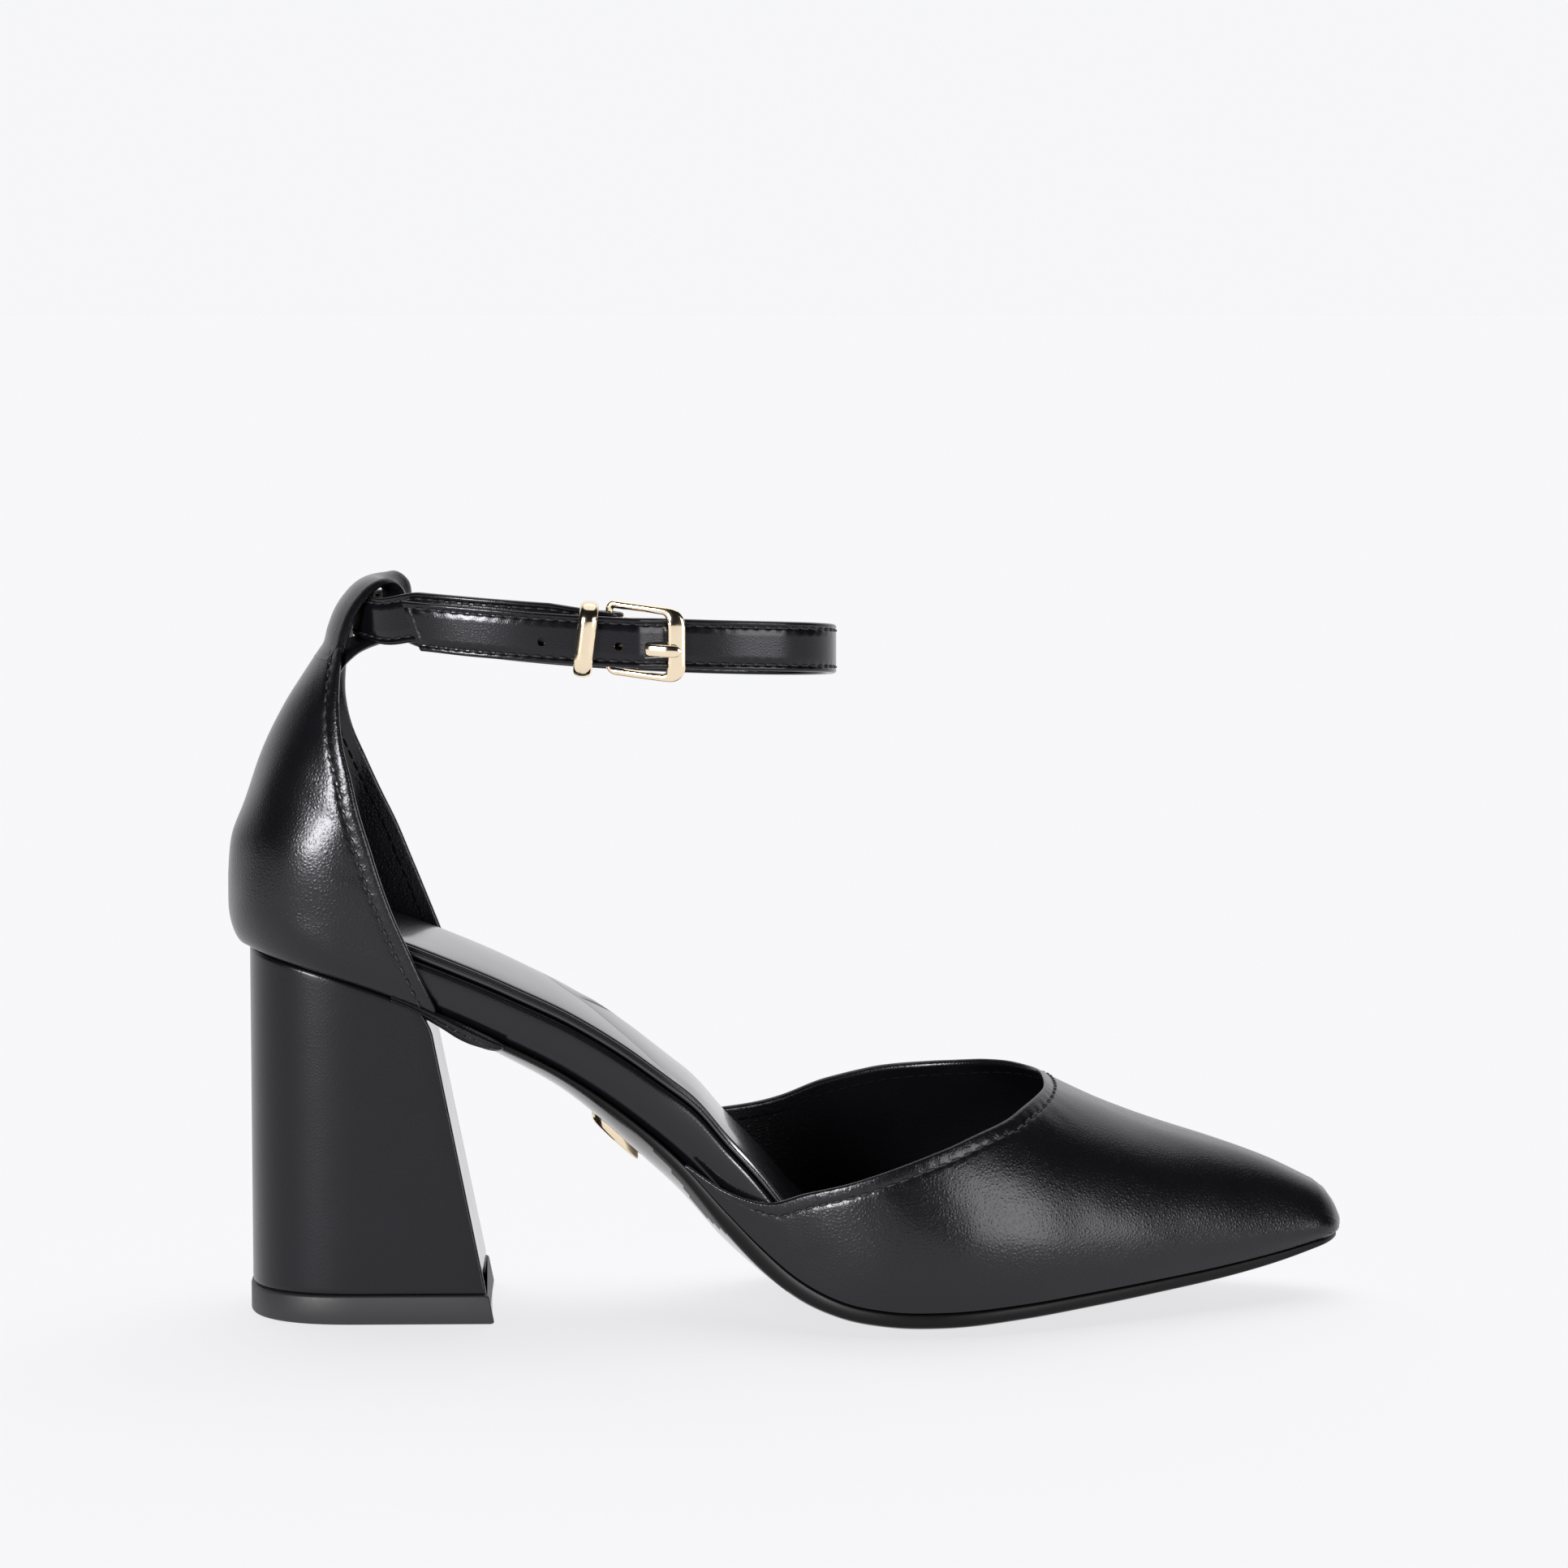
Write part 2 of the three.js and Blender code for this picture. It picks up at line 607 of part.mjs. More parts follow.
function outsole() {
  const back = heelLength / 2 - breastLean * (featherZ(breastAt, 0) - soleEdge) + 2 * seam;
  const front = xOf(1) + toeWelt;
  return loftSolid(stations(back, front, 0, noseRadius + 1).map((at) => {
    const toeRound = roundEnd(front - xOf(at), noseRadius + 1);
    const middle = (lastEdge(at, 1) + lastEdge(at, -1)) / 2;
    const margin = soleMargin * tableValue(bottomTable, 'margin', at);
    const half = (sign) => Math.abs(lastEdge(at, sign) + sign * margin - middle) * toeRound;
    const across = (share) => middle + share * half(Math.sign(share));
    const bottom = soleShares.map((share) => {
      const y = across(share);
      return new THREE.Vector3(xOf(at), y, soleBottomZ(at, y, share));
    });
    const edge = (sign, down) => {
      const y = across(sign);
      const top = bedZ(at, y) - seam;
      return new THREE.Vector3(xOf(at), y, mix(top, soleBottomZ(at, y, sign), down));
    };
    return [edge(-1, 0), edge(-1, edgeShare), ...bottom, edge(1, edgeShare), edge(1, 0)];
  }));
}

// Half outline of the heel from the middle of its breast to the middle of its back
function heelHalf(back, front, half) {
  const points = [];
  const corner = Math.min(heelCorner, half / 2);
  for (let i = 0; i <= heelCornerSteps; i += 1) {
    const turn = Math.PI / 2 * i / heelCornerSteps;
    points.push([front - corner * (1 - Math.cos(turn)), half - corner * (1 - Math.sin(turn))]);
  }
  const round = Math.min(heelBackRound, front - corner - back);
  for (let i = 0; i <= heelBackSteps; i += 1) {
    const left = 1 - Math.sin(Math.PI / 2 * i / heelBackSteps);
    const x = back + round * left;
    points.push([x, i === heelBackSteps ? 0 : half * roundEnd(x - back, round, heelBackPower)]);
  }
  return points;
}

function heelRing(back, front, half, level) {
  const outline = heelHalf(back, front, half);
  const outer = outline.map(([x, y]) => new THREE.Vector3(x, -y, level(x)));
  const inner = outline.slice(0, -1).reverse().map(([x, y]) => new THREE.Vector3(x, y, level(x)));
  return [...outer, ...inner];
}

function heel() {
  const foot = liftThickness + seam;
  const rings = Array.from({ length: heelRows + 1 }, (_, i) => {
    const t = i / heelRows;
    const half = mix(heelWidth / 2 - liftMargin, heelTopWidth / 2, t);
    const level = (x) => mix(foot, heelTopZ(x), t);
    let front = heelLength / 2;
    for (let pass = 0; pass < settlePasses; pass += 1) {
      front = heelLength / 2 - breastLean * level(front);
    }
    return heelRing(-heelLength / 2 + liftMargin, front, half, level);
  });
  return loftSolid(rings);
}

function lift() {
  const ring = (inset, z) => heelRing(
    -heelLength / 2 + inset, heelLength / 2 - breastLean * z - inset + liftMargin,
    heelWidth / 2 - inset, () => z);
  return loftSolid([
    ring(liftRound, 0),
    ring(0, liftRound),
    ring(0, liftThickness - liftRound),
    ring(liftRound / 2, liftThickness),
  ]);
}

// The strap's ring in plan, with its outward normal. Turn 0 is the back, and it grows over the
// inner side to the front and back along the outer side.
function ringPoint(turn, offset) {
  const half = ringLength / 2;
  const cosine = Math.cos(turn);
  const sine = Math.sin(turn);
  const power = 2 / (cosine > 0 ? ringHeelPower : ringPower);
  const bend = (value) => Math.sign(value) * Math.abs(value) ** power;
  const along = (value) => Math.sign(value) * Math.abs(value) ** (2 - power);
  const x = ringBack + half - half * bend(cosine);
  const y = ringWidth / 2 * bend(sine);
  const normal = new THREE.Vector2(-along(cosine) / half, along(sine) / (ringWidth / 2)).normalize();
  const front = Math.max(1 - (x - ringBack) / ringLength, 0);
  const tilt = ringTilt * THREE.MathUtils.smoothstep(x - ringBack, ...tiltRun);
  const z = seatBack + counterHeight - ringDrop + ringRise * front ** ringRisePower - tilt * y;
  return new THREE.Vector3(x + normal.x * offset, y + normal.y * offset, z);
}

// Turn of the ring at a place along the outer side
function outerTurn(x) {
  const share = 1 - (x - ringBack) / (ringLength / 2);
  const power = share > 0 ? ringHeelPower : ringPower;
  const cosine = Math.sign(share) * Math.abs(share) ** (power / 2);
  return 2 * Math.PI - Math.acos(cosine);
}

const lapOffset = strapThickness + lapGap;
const barOffset = -(strapThickness / 2 + barRadius + seam);
const foldOffset = 2 * barOffset;
const frontBarX = buckleBarX + buckleLength - barRadius - frontBarWidth / 2;
const frontBarOffset = strapThickness / 2 + barRadius + seam;
const foldWidth = buckleHeight - 4 * railRadius - 6 * seam;
const prongHoleX = frontBarX - prongHoleSetBack;
const lapClimb = [2, 9];

// A place on the outer side of the strap's ring, by its distance along the foot
function onStrap(x, offset, up) {
  const point = ringPoint(outerTurn(x), offset);
  point.z += up;
  return point;
}

// How far the upper layer lies outside the lower one
function lapAt(x) {
  return lapOffset * THREE.MathUtils.smoothstep(frontBarX - x, ...lapClimb);
}

// The strap's middle line: a fold round the buckle's bar, back along the outer side, round the
// heel, forward on the inner side, round the front and back over the first layer to its tip
function strapPath() {
  const path = [];
  const foldEnd = buckleBarX - foldLength;
  const place = (middle, shift, width) => {
    const lifted = middle.clone();
    const inLoop = 1 - THREE.MathUtils.smoothstep(middle.x - ringBack, ...squeezeRun);
    lifted.z += ringStep * shift;
    path.push({ middle: lifted, width: width * mix(1, loopSqueeze, inLoop) });
  };
  for (let i = 0; i <= foldSteps; i += 1) {
    place(onStrap(mix(foldEnd, buckleBarX, i / foldSteps), foldOffset, 0), buckleShift, foldWidth);
  }
  for (let i = 1; i < bendSteps; i += 1) {
    const angle = Math.PI * i / bendSteps;
    const x = buckleBarX - barOffset * Math.sin(angle);
    place(onStrap(x, barOffset * (1 + Math.cos(angle)), 0), buckleShift, foldWidth);
  }
  for (let i = 0; i <= underSteps; i += 1) {
    const t = i / underSteps;
    const x = mix(buckleBarX, foldEnd, t);
    place(onStrap(x, 0, 0), mix(buckleShift, 1, t), mix(foldWidth, strapWidth, t));
  }
  for (let i = 1; i <= backSteps; i += 1) {
    const turn = mix(outerTurn(foldEnd), 2 * Math.PI, i / backSteps);
    place(ringPoint(turn, 0), mix(1, heelStep, i / backSteps), strapWidth);
  }
  const tipTurn = outerTurn(strapTip);
  for (let i = 1; i <= ringSteps; i += 1) {
    const turn = mix(0, tipTurn, i / ringSteps);
    const lap = turn > Math.PI ? lapAt(ringPoint(turn, 0).x) : 0;
    const shift = heelStep * (1 - THREE.MathUtils.smoothstep(turn, 0, Math.PI));
    place(ringPoint(turn, lap), shift, strapWidth);
  }
  return path;
}

function strap() {
  const path = strapPath();
  const last = path.length - 1;
  const rings = path.map((stop, i) => {
    const before = path[Math.max(i - 1, 0)].middle;
    const after = path[Math.min(i + 1, last)].middle;
    const along = new THREE.Vector3(after.x - before.x, after.y - before.y, 0).normalize();
    const side = new THREE.Vector3(along.y, -along.x, 0).multiplyScalar(strapThickness / 2);
    const corner = (across, up) => {
      const point = stop.middle.clone().addScaledVector(side, across);
      point.z += up * stop.width / 2;
      if (i === last) point.addScaledVector(along, -tipSlant * up);
      return point;
    };
    return [corner(-1, -1), corner(-1, 1), corner(1, 1), corner(1, -1)];
  });
  let solid = toSolid(loftSolid(rings));
  for (let i = 1; i < holeCount; i += 1) {
    const x = prongHoleX - i * holePitch;
    const spot = onStrap(x, lapAt(x), -holeDrop);
    const hole = new THREE.CylinderGeometry(holeRadius, holeRadius, strapThickness + lapGap, holeSteps);
    solid = solid.subtract(toSolid(hole.translate(spot.x, spot.y, spot.z)));
  }
  const open = prongWidth + 2 * slotClearance;
  const prongHole = new THREE.BoxGeometry(prongHoleLength, 2 * lapOffset, open);
  const holeSpot = onStrap(prongHoleX, lapAt(prongHoleX), -prongDrop);
  solid = solid.subtract(toSolid(prongHole.translate(holeSpot.x, holeSpot.y, holeSpot.z)));
  const slotDepth = strapThickness / 2 + lapGap / 2 - barOffset * 2 + strapThickness;
  const slot = new THREE.BoxGeometry(-4 * barOffset, slotDepth, open);
  const slotSpot = onStrap(buckleBarX, strapThickness / 2 + lapGap / 2 - slotDepth / 2, -prongDrop);
  solid = solid.subtract(toSolid(slot.translate(slotSpot.x - barOffset, slotSpot.y, slotSpot.z)));
  return fromSolid(solid);
}

// Eight corners of a bar's section
function barSection(middle, out, side, thick, wide) {
  const [flat, edge] = barCorners;
  const half = [[1, flat], [edge, 1], [-edge, 1], [-1, flat]];
  const corners = [...half, ...half.map(([a, b]) => [-a, -b])];
  return corners.map(([a, b]) => middle.clone()
    .addScaledVector(out, a * thick)
    .addScaledVector(side, b * wide));
}

// A rectangle with round corners: the first radius at its low end, the second at its high end
function roundFrame(length, height, lowRadius, highRadius, cornerSteps) {
  const points = [];
  const arc = (cx, cy, radius, from) => {
    for (let i = 0; i <= cornerSteps; i += 1) {
      const angle = from + Math.PI / 2 * i / cornerSteps;
      points.push({ x: cx + radius * Math.cos(angle), y: cy + radius * Math.sin(angle), angle });
    }
  };
  arc(length - highRadius, height / 2 - highRadius, highRadius, 0);
  arc(lowRadius, height / 2 - lowRadius, lowRadius, Math.PI / 2);
  arc(lowRadius, lowRadius - height / 2, lowRadius, Math.PI);
  arc(length - highRadius, highRadius - height / 2, highRadius, Math.PI * 1.5);
  return points;
}

function warpOnStrap(geometry) {
  const position = geometry.getAttribute('position');
  for (let i = 0; i < position.count; i += 1) {
    const point = onStrap(position.getX(i), position.getY(i), position.getZ(i));
    position.setXYZ(i, point.x, point.y, point.z);
  }
  return geometry;
}

function buckle() {
  const run = frontBarX - buckleBarX;
  const path = roundFrame(
    run, buckleHeight - 2 * railRadius, barCorner, frameCorner, buckleCornerSteps);
  const rings = path.map(({ x, y, angle }) => {
    const share = x / run;
    const front = THREE.MathUtils.smoothstep(share, frontBarStart, 1);
    const middle = new THREE.Vector3(
      buckleBarX + x, mix(barOffset, frontBarOffset, share),
      y + mix(ringStep * buckleShift, -buckleDrop, share));
    const out = new THREE.Vector3(Math.cos(angle), 0, Math.sin(angle));
    const side = new THREE.Vector3(0, 1, 0);
    return barSection(middle, out, side, mix(railRadius, frontBarWidth / 2, front), barRadius);
  });
  return facingOut(warpOnStrap(hoopSolid(rings)));
}

// The prong: an eye round the buckle's bar and a tongue through the strap onto the front bar
function prong() {
  const eye = prongEye + prongThickness;
  const rest = frontBarOffset + barRadius + seam;
  const half = prongThickness / 2;
  const route = [
    [buckleBarX + eye * prongRoot[0], barOffset + eye * prongRoot[1]],
    [prongHoleX - prongRise, prongLow],
    [prongHoleX + prongClimb, mix(lapAt(prongHoleX), rest, prongClimbShare)],
    [frontBarX - frontBarWidth / 2, rest + half],
    [frontBarX + half, rest + half],
  ];
  const shape = new THREE.Shape();
  const upper = route.map(([x, offset]) => [x, offset + half]);
  const lower = route.map(([x, offset]) => [x, offset - half]).reverse();
  const start = Math.atan2(upper[0][1] - barOffset, upper[0][0] - buckleBarX);
  const end = Math.atan2(lower[4][1] - barOffset, lower[4][0] - buckleBarX);
  shape.moveTo(...upper[0]);
  upper.slice(1).forEach((point) => shape.lineTo(...point));
  lower.forEach((point) => shape.lineTo(...point));
  shape.absarc(buckleBarX, barOffset, eye, end, start, true);
  const bore = new THREE.Path();
  bore.absarc(buckleBarX, barOffset, prongEye, 0, Math.PI * 2, false);
  shape.holes.push(bore);
  const geometry = new THREE.ExtrudeGeometry(shape, {
    depth: prongWidth, bevelEnabled: false, curveSegments: eyeSteps,
  });
  geometry.deleteAttribute('normal');
  geometry.deleteAttribute('uv');
  geometry.translate(0, 0, -prongWidth / 2 - prongDrop);
  return facingOut(warpOnStrap(mergeVertices(geometry)));
}

// The keeper: a flat metal band round every layer of the strap
function keeper() {
  const inside = foldOffset - strapThickness / 2 - 2 * seam;
  const outside = lapOffset + strapThickness / 2 + 2 * seam;
  const low = -strapWidth / 2 - 2 * seam - keeperDrop;
  const high = strapWidth / 2 + keeperLift + 2 * seam - keeperDrop;
  const grow = keeperWall / 2;
  const deep = outside - inside + 2 * grow;
  const tall = high - low + 2 * grow;
  const path = roundFrame(deep, tall, keeperRound, keeperRound, keeperCornerSteps);
  const rings = path.map(({ x, y, angle }) => {
    const up = y + (high + low) / 2;
    const middle = new THREE.Vector3(keeperX + keeperLean * up, inside - grow + x, up);
    const out = new THREE.Vector3(0, Math.cos(angle), Math.sin(angle));
    return barSection(middle, out, new THREE.Vector3(1, 0, 0), keeperWall / 2, keeperWidth / 2);
  });
  return facingOut(warpOnStrap(hoopSolid(rings)));
}

// A plain oval plate under the waist
function plate() {
  const ring = (inset, down) => Array.from({ length: plateSteps }, (_, i) => {
    const angle = Math.PI * 2 * (i + 0.5) / plateSteps;
    const at = plateAt + (plateLength / 2 - inset) * Math.cos(angle) * plateSlope / footLength;
    const y = (plateWidth / 2 - inset) * Math.sin(angle);
    return new THREE.Vector3(xOf(at), y, soleBottomZ(at, y, y / lastEdge(at, 1)) - seam - down);
  });
  return loftSolid([
    ring(0, 0),
    ring(0, plateThickness - plateRound),
    ring(plateRound, plateThickness),
  ]);
}

// The loop at the top of the quarter, bent round the back of the ankle
function loop() {
  const backX = xOf(loopAt) + loopWall / 2;
  const lowZ = seatBack + counterHeight + loopGap;
  const reach = 0.05;
  const turns = loopTable.length - 1;
  const at = (step, column) => tableValue(loopTable, column, step, 'step');
  const rings = Array.from({ length: loopSteps }, (_, i) => {
    const step = turns * i / loopSteps;
    const ahead = (step + reach) % turns;
    const behind = (step - reach + turns) % turns;
    const alongX = (at(ahead, 'along') - at(behind, 'along')) * loopLength;
    const alongZ = (at(ahead, 'up') - at(behind, 'up')) * loopHeight;
    const size = Math.hypot(alongX, alongZ);
    const out = new THREE.Vector3(-alongZ / size, 0, alongX / size);
    const middle = new THREE.Vector3(
      backX + at(step, 'along') * loopLength, 0, lowZ + at(step, 'up') * loopHeight);
    const line = (offset, direction) => Array.from({ length: loopBends + 1 }, (__, j) => {
      const y = direction * loopWidth * (j / loopBends - 0.5);
      const point = middle.clone().addScaledVector(out, offset);
      point.x += loopBend - Math.sqrt(loopBend * loopBend - y * y);
      point.y = y;
      return point;
    });
    return [...line(loopWall / 2, 1), ...line(-loopWall / 2, -1)];
  });
  return hoopSolid(rings);
}

const material = (color, roughness, metalness) =>
  new THREE.MeshStandardMaterial({ color, roughness, metalness });

const smoothLeather = material(0x1b1b1e, 0.38, 0);
const heelLeather = material(0x26262b, 0.42, 0);
const sockLeather = material(0x2a2a2e, 0.45, 0);
const soleRubber = material(0x101012, 0.3, 0);
const paleGold = material(0xe6d2b0, 0.18, 1);

const shoe = new THREE.Group();

function addPiece(name, geometry, surface) {
  const mesh = new THREE.Mesh(geometry, surface);
  mesh.name = name;
  shoe.add(mesh);
}

addPiece('outsole', outsole(), soleRubber);
addPiece('insole_board', board(), smoothLeather);
addPiece('sock_lining', sock(), sockLeather);
addPiece('vamp', vamp(), smoothLeather);
addPiece('quarter', quarter(), smoothLeather);
addPiece('strap_loop', loop(), smoothLeather);
addPiece('heel_block', heel(), heelLeather);
addPiece('top_lift', lift(), soleRubber);
addPiece('ankle_strap', strap(), smoothLeather);
addPiece('buckle_frame', buckle(), paleGold);
addPiece('buckle_prong', prong(), paleGold);
addPiece('strap_keeper', keeper(), paleGold);
addPiece('waist_plate', plate(), paleGold);

export default shoe;
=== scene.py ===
import math
import bpy
from mathutils import Matrix, Vector, noise


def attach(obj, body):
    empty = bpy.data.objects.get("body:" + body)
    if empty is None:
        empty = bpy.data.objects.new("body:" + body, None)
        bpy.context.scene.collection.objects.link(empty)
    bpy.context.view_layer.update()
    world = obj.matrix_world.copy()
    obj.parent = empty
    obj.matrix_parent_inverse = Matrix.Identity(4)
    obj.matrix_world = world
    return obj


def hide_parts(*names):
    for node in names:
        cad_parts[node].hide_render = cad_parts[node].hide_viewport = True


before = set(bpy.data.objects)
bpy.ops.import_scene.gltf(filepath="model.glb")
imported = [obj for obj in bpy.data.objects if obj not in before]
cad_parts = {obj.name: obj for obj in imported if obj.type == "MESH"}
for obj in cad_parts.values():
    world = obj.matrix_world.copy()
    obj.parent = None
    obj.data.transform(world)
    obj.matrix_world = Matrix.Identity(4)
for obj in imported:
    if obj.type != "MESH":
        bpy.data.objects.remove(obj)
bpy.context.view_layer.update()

mm = 0.001
print("frame loaded:", len(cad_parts), "nodes")


# Small tools

def linearColour(hexCode):
    channels = [int(hexCode[i:i + 2], 16) / 255 for i in (0, 2, 4)]
    return tuple(c / 12.92 if c <= 0.04045 else ((c + 0.055) / 1.055) ** 2.4 for c in channels) + (1,)


def table(columns, *rows):
    return [dict(zip(columns.split(), row)) for row in rows]


def mix(a, b, t):
    return a + (b - a) * t


def smoothStep(value, low, high):
    t = min(max((value - low) / (high - low), 0), 1)
    return t * t * (3 - 2 * t)


def bell(value, middle, width):
    return math.exp(-((value - middle) / width) ** 2)


def signedPower(value, power):
    return math.copysign(abs(value) ** power, value)


def tableValue(rows, column, at, key="at"):
    last = len(rows) - 1
    if at <= rows[0][key]:
        return rows[0][column]
    if at >= rows[last][key]:
        return rows[last][column]
    row = 0
    while at > rows[row + 1][key]:
        row += 1

    def span(i):
        return rows[i + 1][key] - rows[i][key]

    def slope(i):
        return (rows[i + 1][column] - rows[i][column]) / span(i)

    def tangent(i):
        if i == 0:
            return slope(0)
        if i == last:
            return slope(last - 1)
        return (slope(i - 1) * span(i) + slope(i) * span(i - 1)) / (span(i - 1) + span(i))

    h = span(row)
    t = (at - rows[row][key]) / h
    rise = rows[row + 1][column] - rows[row][column]
    bend = t * (1 - t) * h * (tangent(row) * (1 - t) - tangent(row + 1) * t)
    return rows[row][column] + rise * t * t * (3 - 2 * t) + bend


def roundEnd(distance, length, power=2):
    left = 1 - min(max(distance / length, 0), 1)
    return (1 - left ** power) ** (1 / power)


def gridFaces(rows, columns, wrapRows=False, wrapColumns=False, start=0):
    faces = []
    for i in range(rows if wrapRows else rows - 1):
        for j in range(columns if wrapColumns else columns - 1):
            a = start + i * columns + j
            b = start + i * columns + (j + 1) % columns
            c = start + (i + 1) % rows * columns + (j + 1) % columns
            d = start + (i + 1) % rows * columns + j
            faces.append((a, b, c, d))
    return faces


def allPoints(rings):
    return [point for ring in rings for point in ring]


def makePiece(name, points, faces, material, nodes=(), sharp=None, second=None):
    mesh = bpy.data.meshes.new(name)
    mesh.from_pydata([point * mm for point in points], [], faces)
    mesh.validate()
    mesh.materials.append(material)
    mesh.shade_smooth()
    obj = bpy.data.objects.new(name, mesh)
    bpy.context.scene.collection.objects.link(obj)
    tidy = obj.modifiers.new("merge", "WELD")
    tidy.merge_threshold = 0.00002
    settle(obj)
    faceOut(obj.data)
    if sharp:
        obj.data.set_sharp_from_angle(angle=math.radians(sharp))
    if second:
        obj.data.materials.append(second[0])
        for face in obj.data.polygons:
            face.material_index = int(second[1](face))
    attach(obj, "root")
    if nodes:
        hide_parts(*nodes)
    return obj


def settle(obj):
    graph = bpy.context.evaluated_depsgraph_get()
    done = bpy.data.meshes.new_from_object(obj.evaluated_get(graph))
    old = obj.data
    obj.modifiers.clear()
    obj.data = done
    bpy.data.meshes.remove(old)
    done.name = obj.name


def faceOut(mesh):
    volume = 0
    for face in mesh.polygons:
        corners = [mesh.vertices[i].co for i in face.vertices]
        for i in range(1, len(corners) - 1):
            volume += corners[0].dot(corners[i].cross(corners[i + 1]))
    if volume < 0:
        mesh.flip_normals()


def arcPoints(points):
    lengths = [0]
    for a, b in zip(points, points[1:]):
        lengths.append(lengths[-1] + (b - a).length)
    return lengths


# The last, as in the solids: origin in the middle of the heel's face, X to the toe, Y to the
# inner side, all in millimetres

last = dict(length=249.4, ball=79, seat=76.5, spring=9, arch=3, crest=48, noseRadius=3.6,
            noseHead=5.5, noseSwell=0.9, noseSwellHeight=4, noseSwellLength=12, noseSetBack=0.6, ridge=2,
            swell=1.4, section=0.72, bulgeScale=256 / 27, soleTop=5.5, heelLength=53, overhang=4.4)
wall = dict(vamp=1.5, quarter=1.6, seam=0.3, heelShare=0.294, ease=1.67, loopAt=0.0866)
counterBack = -last["heelLength"] / 2 - last["overhang"]
seatBack = last["soleTop"] + last["seat"]

lastTable = table(
    "at outer inner rise spring arch crest",
    (0.02, 0.266, 0.266, 1.0, 0, 0, 1.5),
    (0.1, 0.29, 0.29, 0.929, 0, 0, 1.5),
    (0.18, 0.294, 0.294, 0.833, 0, 0.05, 1.5),
    (0.24, 0.282, 0.276, 0.746, 0, 0.15, 1.5),
    (0.3, 0.27, 0.258, 0.644, 0, 0.1, 1.5),
    (0.36, 0.278, 0.266, 0.511, 0, -0.25, 1.54),
    (0.4, 0.302, 0.287, 0.404, 0, -0.7, 1.56),
    (0.44, 0.346, 0.324, 0.268, 0, -1.05, 1.62),
    (0.47, 0.388, 0.36, 0.174, 0, -1.1, 1.66),
    (0.5, 0.428, 0.395, 0.094, 0, -0.95, 1.65),
    (0.54, 0.474, 0.438, 0.03, 0, -0.5, 1.58),
    (0.58, 0.497, 0.466, 0.005, 0, -0.15, 1.46),
    (0.63, 0.496, 0.481, 0, 0, 0, 1.26),
    (0.7, 0.442, 0.466, 0, 0.1, 0, 1),
    (0.76, 0.354, 0.428, 0, 0.225, 0, 0.81),
    (0.82, 0.256, 0.367, 0, 0.36, 0, 0.655),
    (0.88, 0.148, 0.304, 0, 0.5, 0, 0.53),
    (0.94, 0.043, 0.24, 0, 0.71, 0, 0.373),
    (1, -0.063, 0.172, 0, 1, 0, 0.15))


def shareOf(x):
    return (x - counterBack) / last["length"]


def xOf(at):
    return counterBack + at * last["length"]


def featherZ(at, side):
    level = last["soleTop"] + last["seat"] * tableValue(lastTable, "rise", at)
    spring = last["spring"] * tableValue(lastTable, "spring", at)
    return level + spring + last["arch"] * tableValue(lastTable, "arch", at) * (1 + side) / 2


def lastEdge(at, side):
    return side * last["ball"] * tableValue(lastTable, "outer" if side < 0 else "inner", at)


def bedZ(at, y):
    outer, inner = lastEdge(at, -1), lastEdge(at, 1)
    return mix(featherZ(at, -1), featherZ(at, 1), (y - outer) / (inner - outer))


def lastPoint(at, height, side, margin):
    tip = xOf(1) - wall["vamp"] - wall["seam"] - last["noseSetBack"] + margin
    x = min(xOf(at), tip)
    share = shareOf(x)
    nose = roundEnd(tip - x, last["noseRadius"])
    middle = (lastEdge(share, 1) + lastEdge(share, -1)) / 2 + last["ridge"]
    edge = lastEdge(share, side) + side * margin
    sine = min(height, 1) ** (1 / last["section"])
    across = max(1 - sine * sine, 0) ** (last["section"] / 2)
    swell = last["swell"] * last["bulgeScale"] * height * (1 - height) ** 3
    y = middle + ((edge - middle) * across + side * swell) * nose
    foot = featherZ(share, side) * (1 - sine) + featherZ(share, 0) * sine
    tall = last["crest"] * tableValue(lastTable, "crest", share) - wall["vamp"] - wall["seam"] + margin
    up = tall * height * roundEnd(tip - x, last["noseHead"])
    near = max(1 - (tip - x) / last["noseSwellLength"], 0)
    forward = last["noseSwell"] * near * near * roundEnd(up, last["noseSwellHeight"])
    return Vector((x + forward, y, foot + up))


# Materials. Pattern sizes are real ones in millimetres.

def addNode(tree, kind, settings=None, links=None):
    node = tree.nodes.new(kind)
    for key, value in (settings or {}).items():
        if isinstance(key, int) or key in node.inputs:
            node.inputs[key].default_value = value
        else:
            setattr(node, key, value)
    for key, source in (links or {}).items():
        tree.links.new(source, node.inputs[key])
    return node


def newMaterial(name):
    material = bpy.data.materials.new(name)
    material.use_nodes = True
    tree = material.node_tree
    tree.nodes.clear()
    return material, tree, addNode(tree, "ShaderNodeTexCoord").outputs["Object"]


def finishMaterial(tree, settings, links):
    surface = addNode(tree, "ShaderNodeBsdfPrincipled", settings, links)
    addNode(tree, "ShaderNodeOutputMaterial", links={"Surface": surface.outputs["BSDF"]})


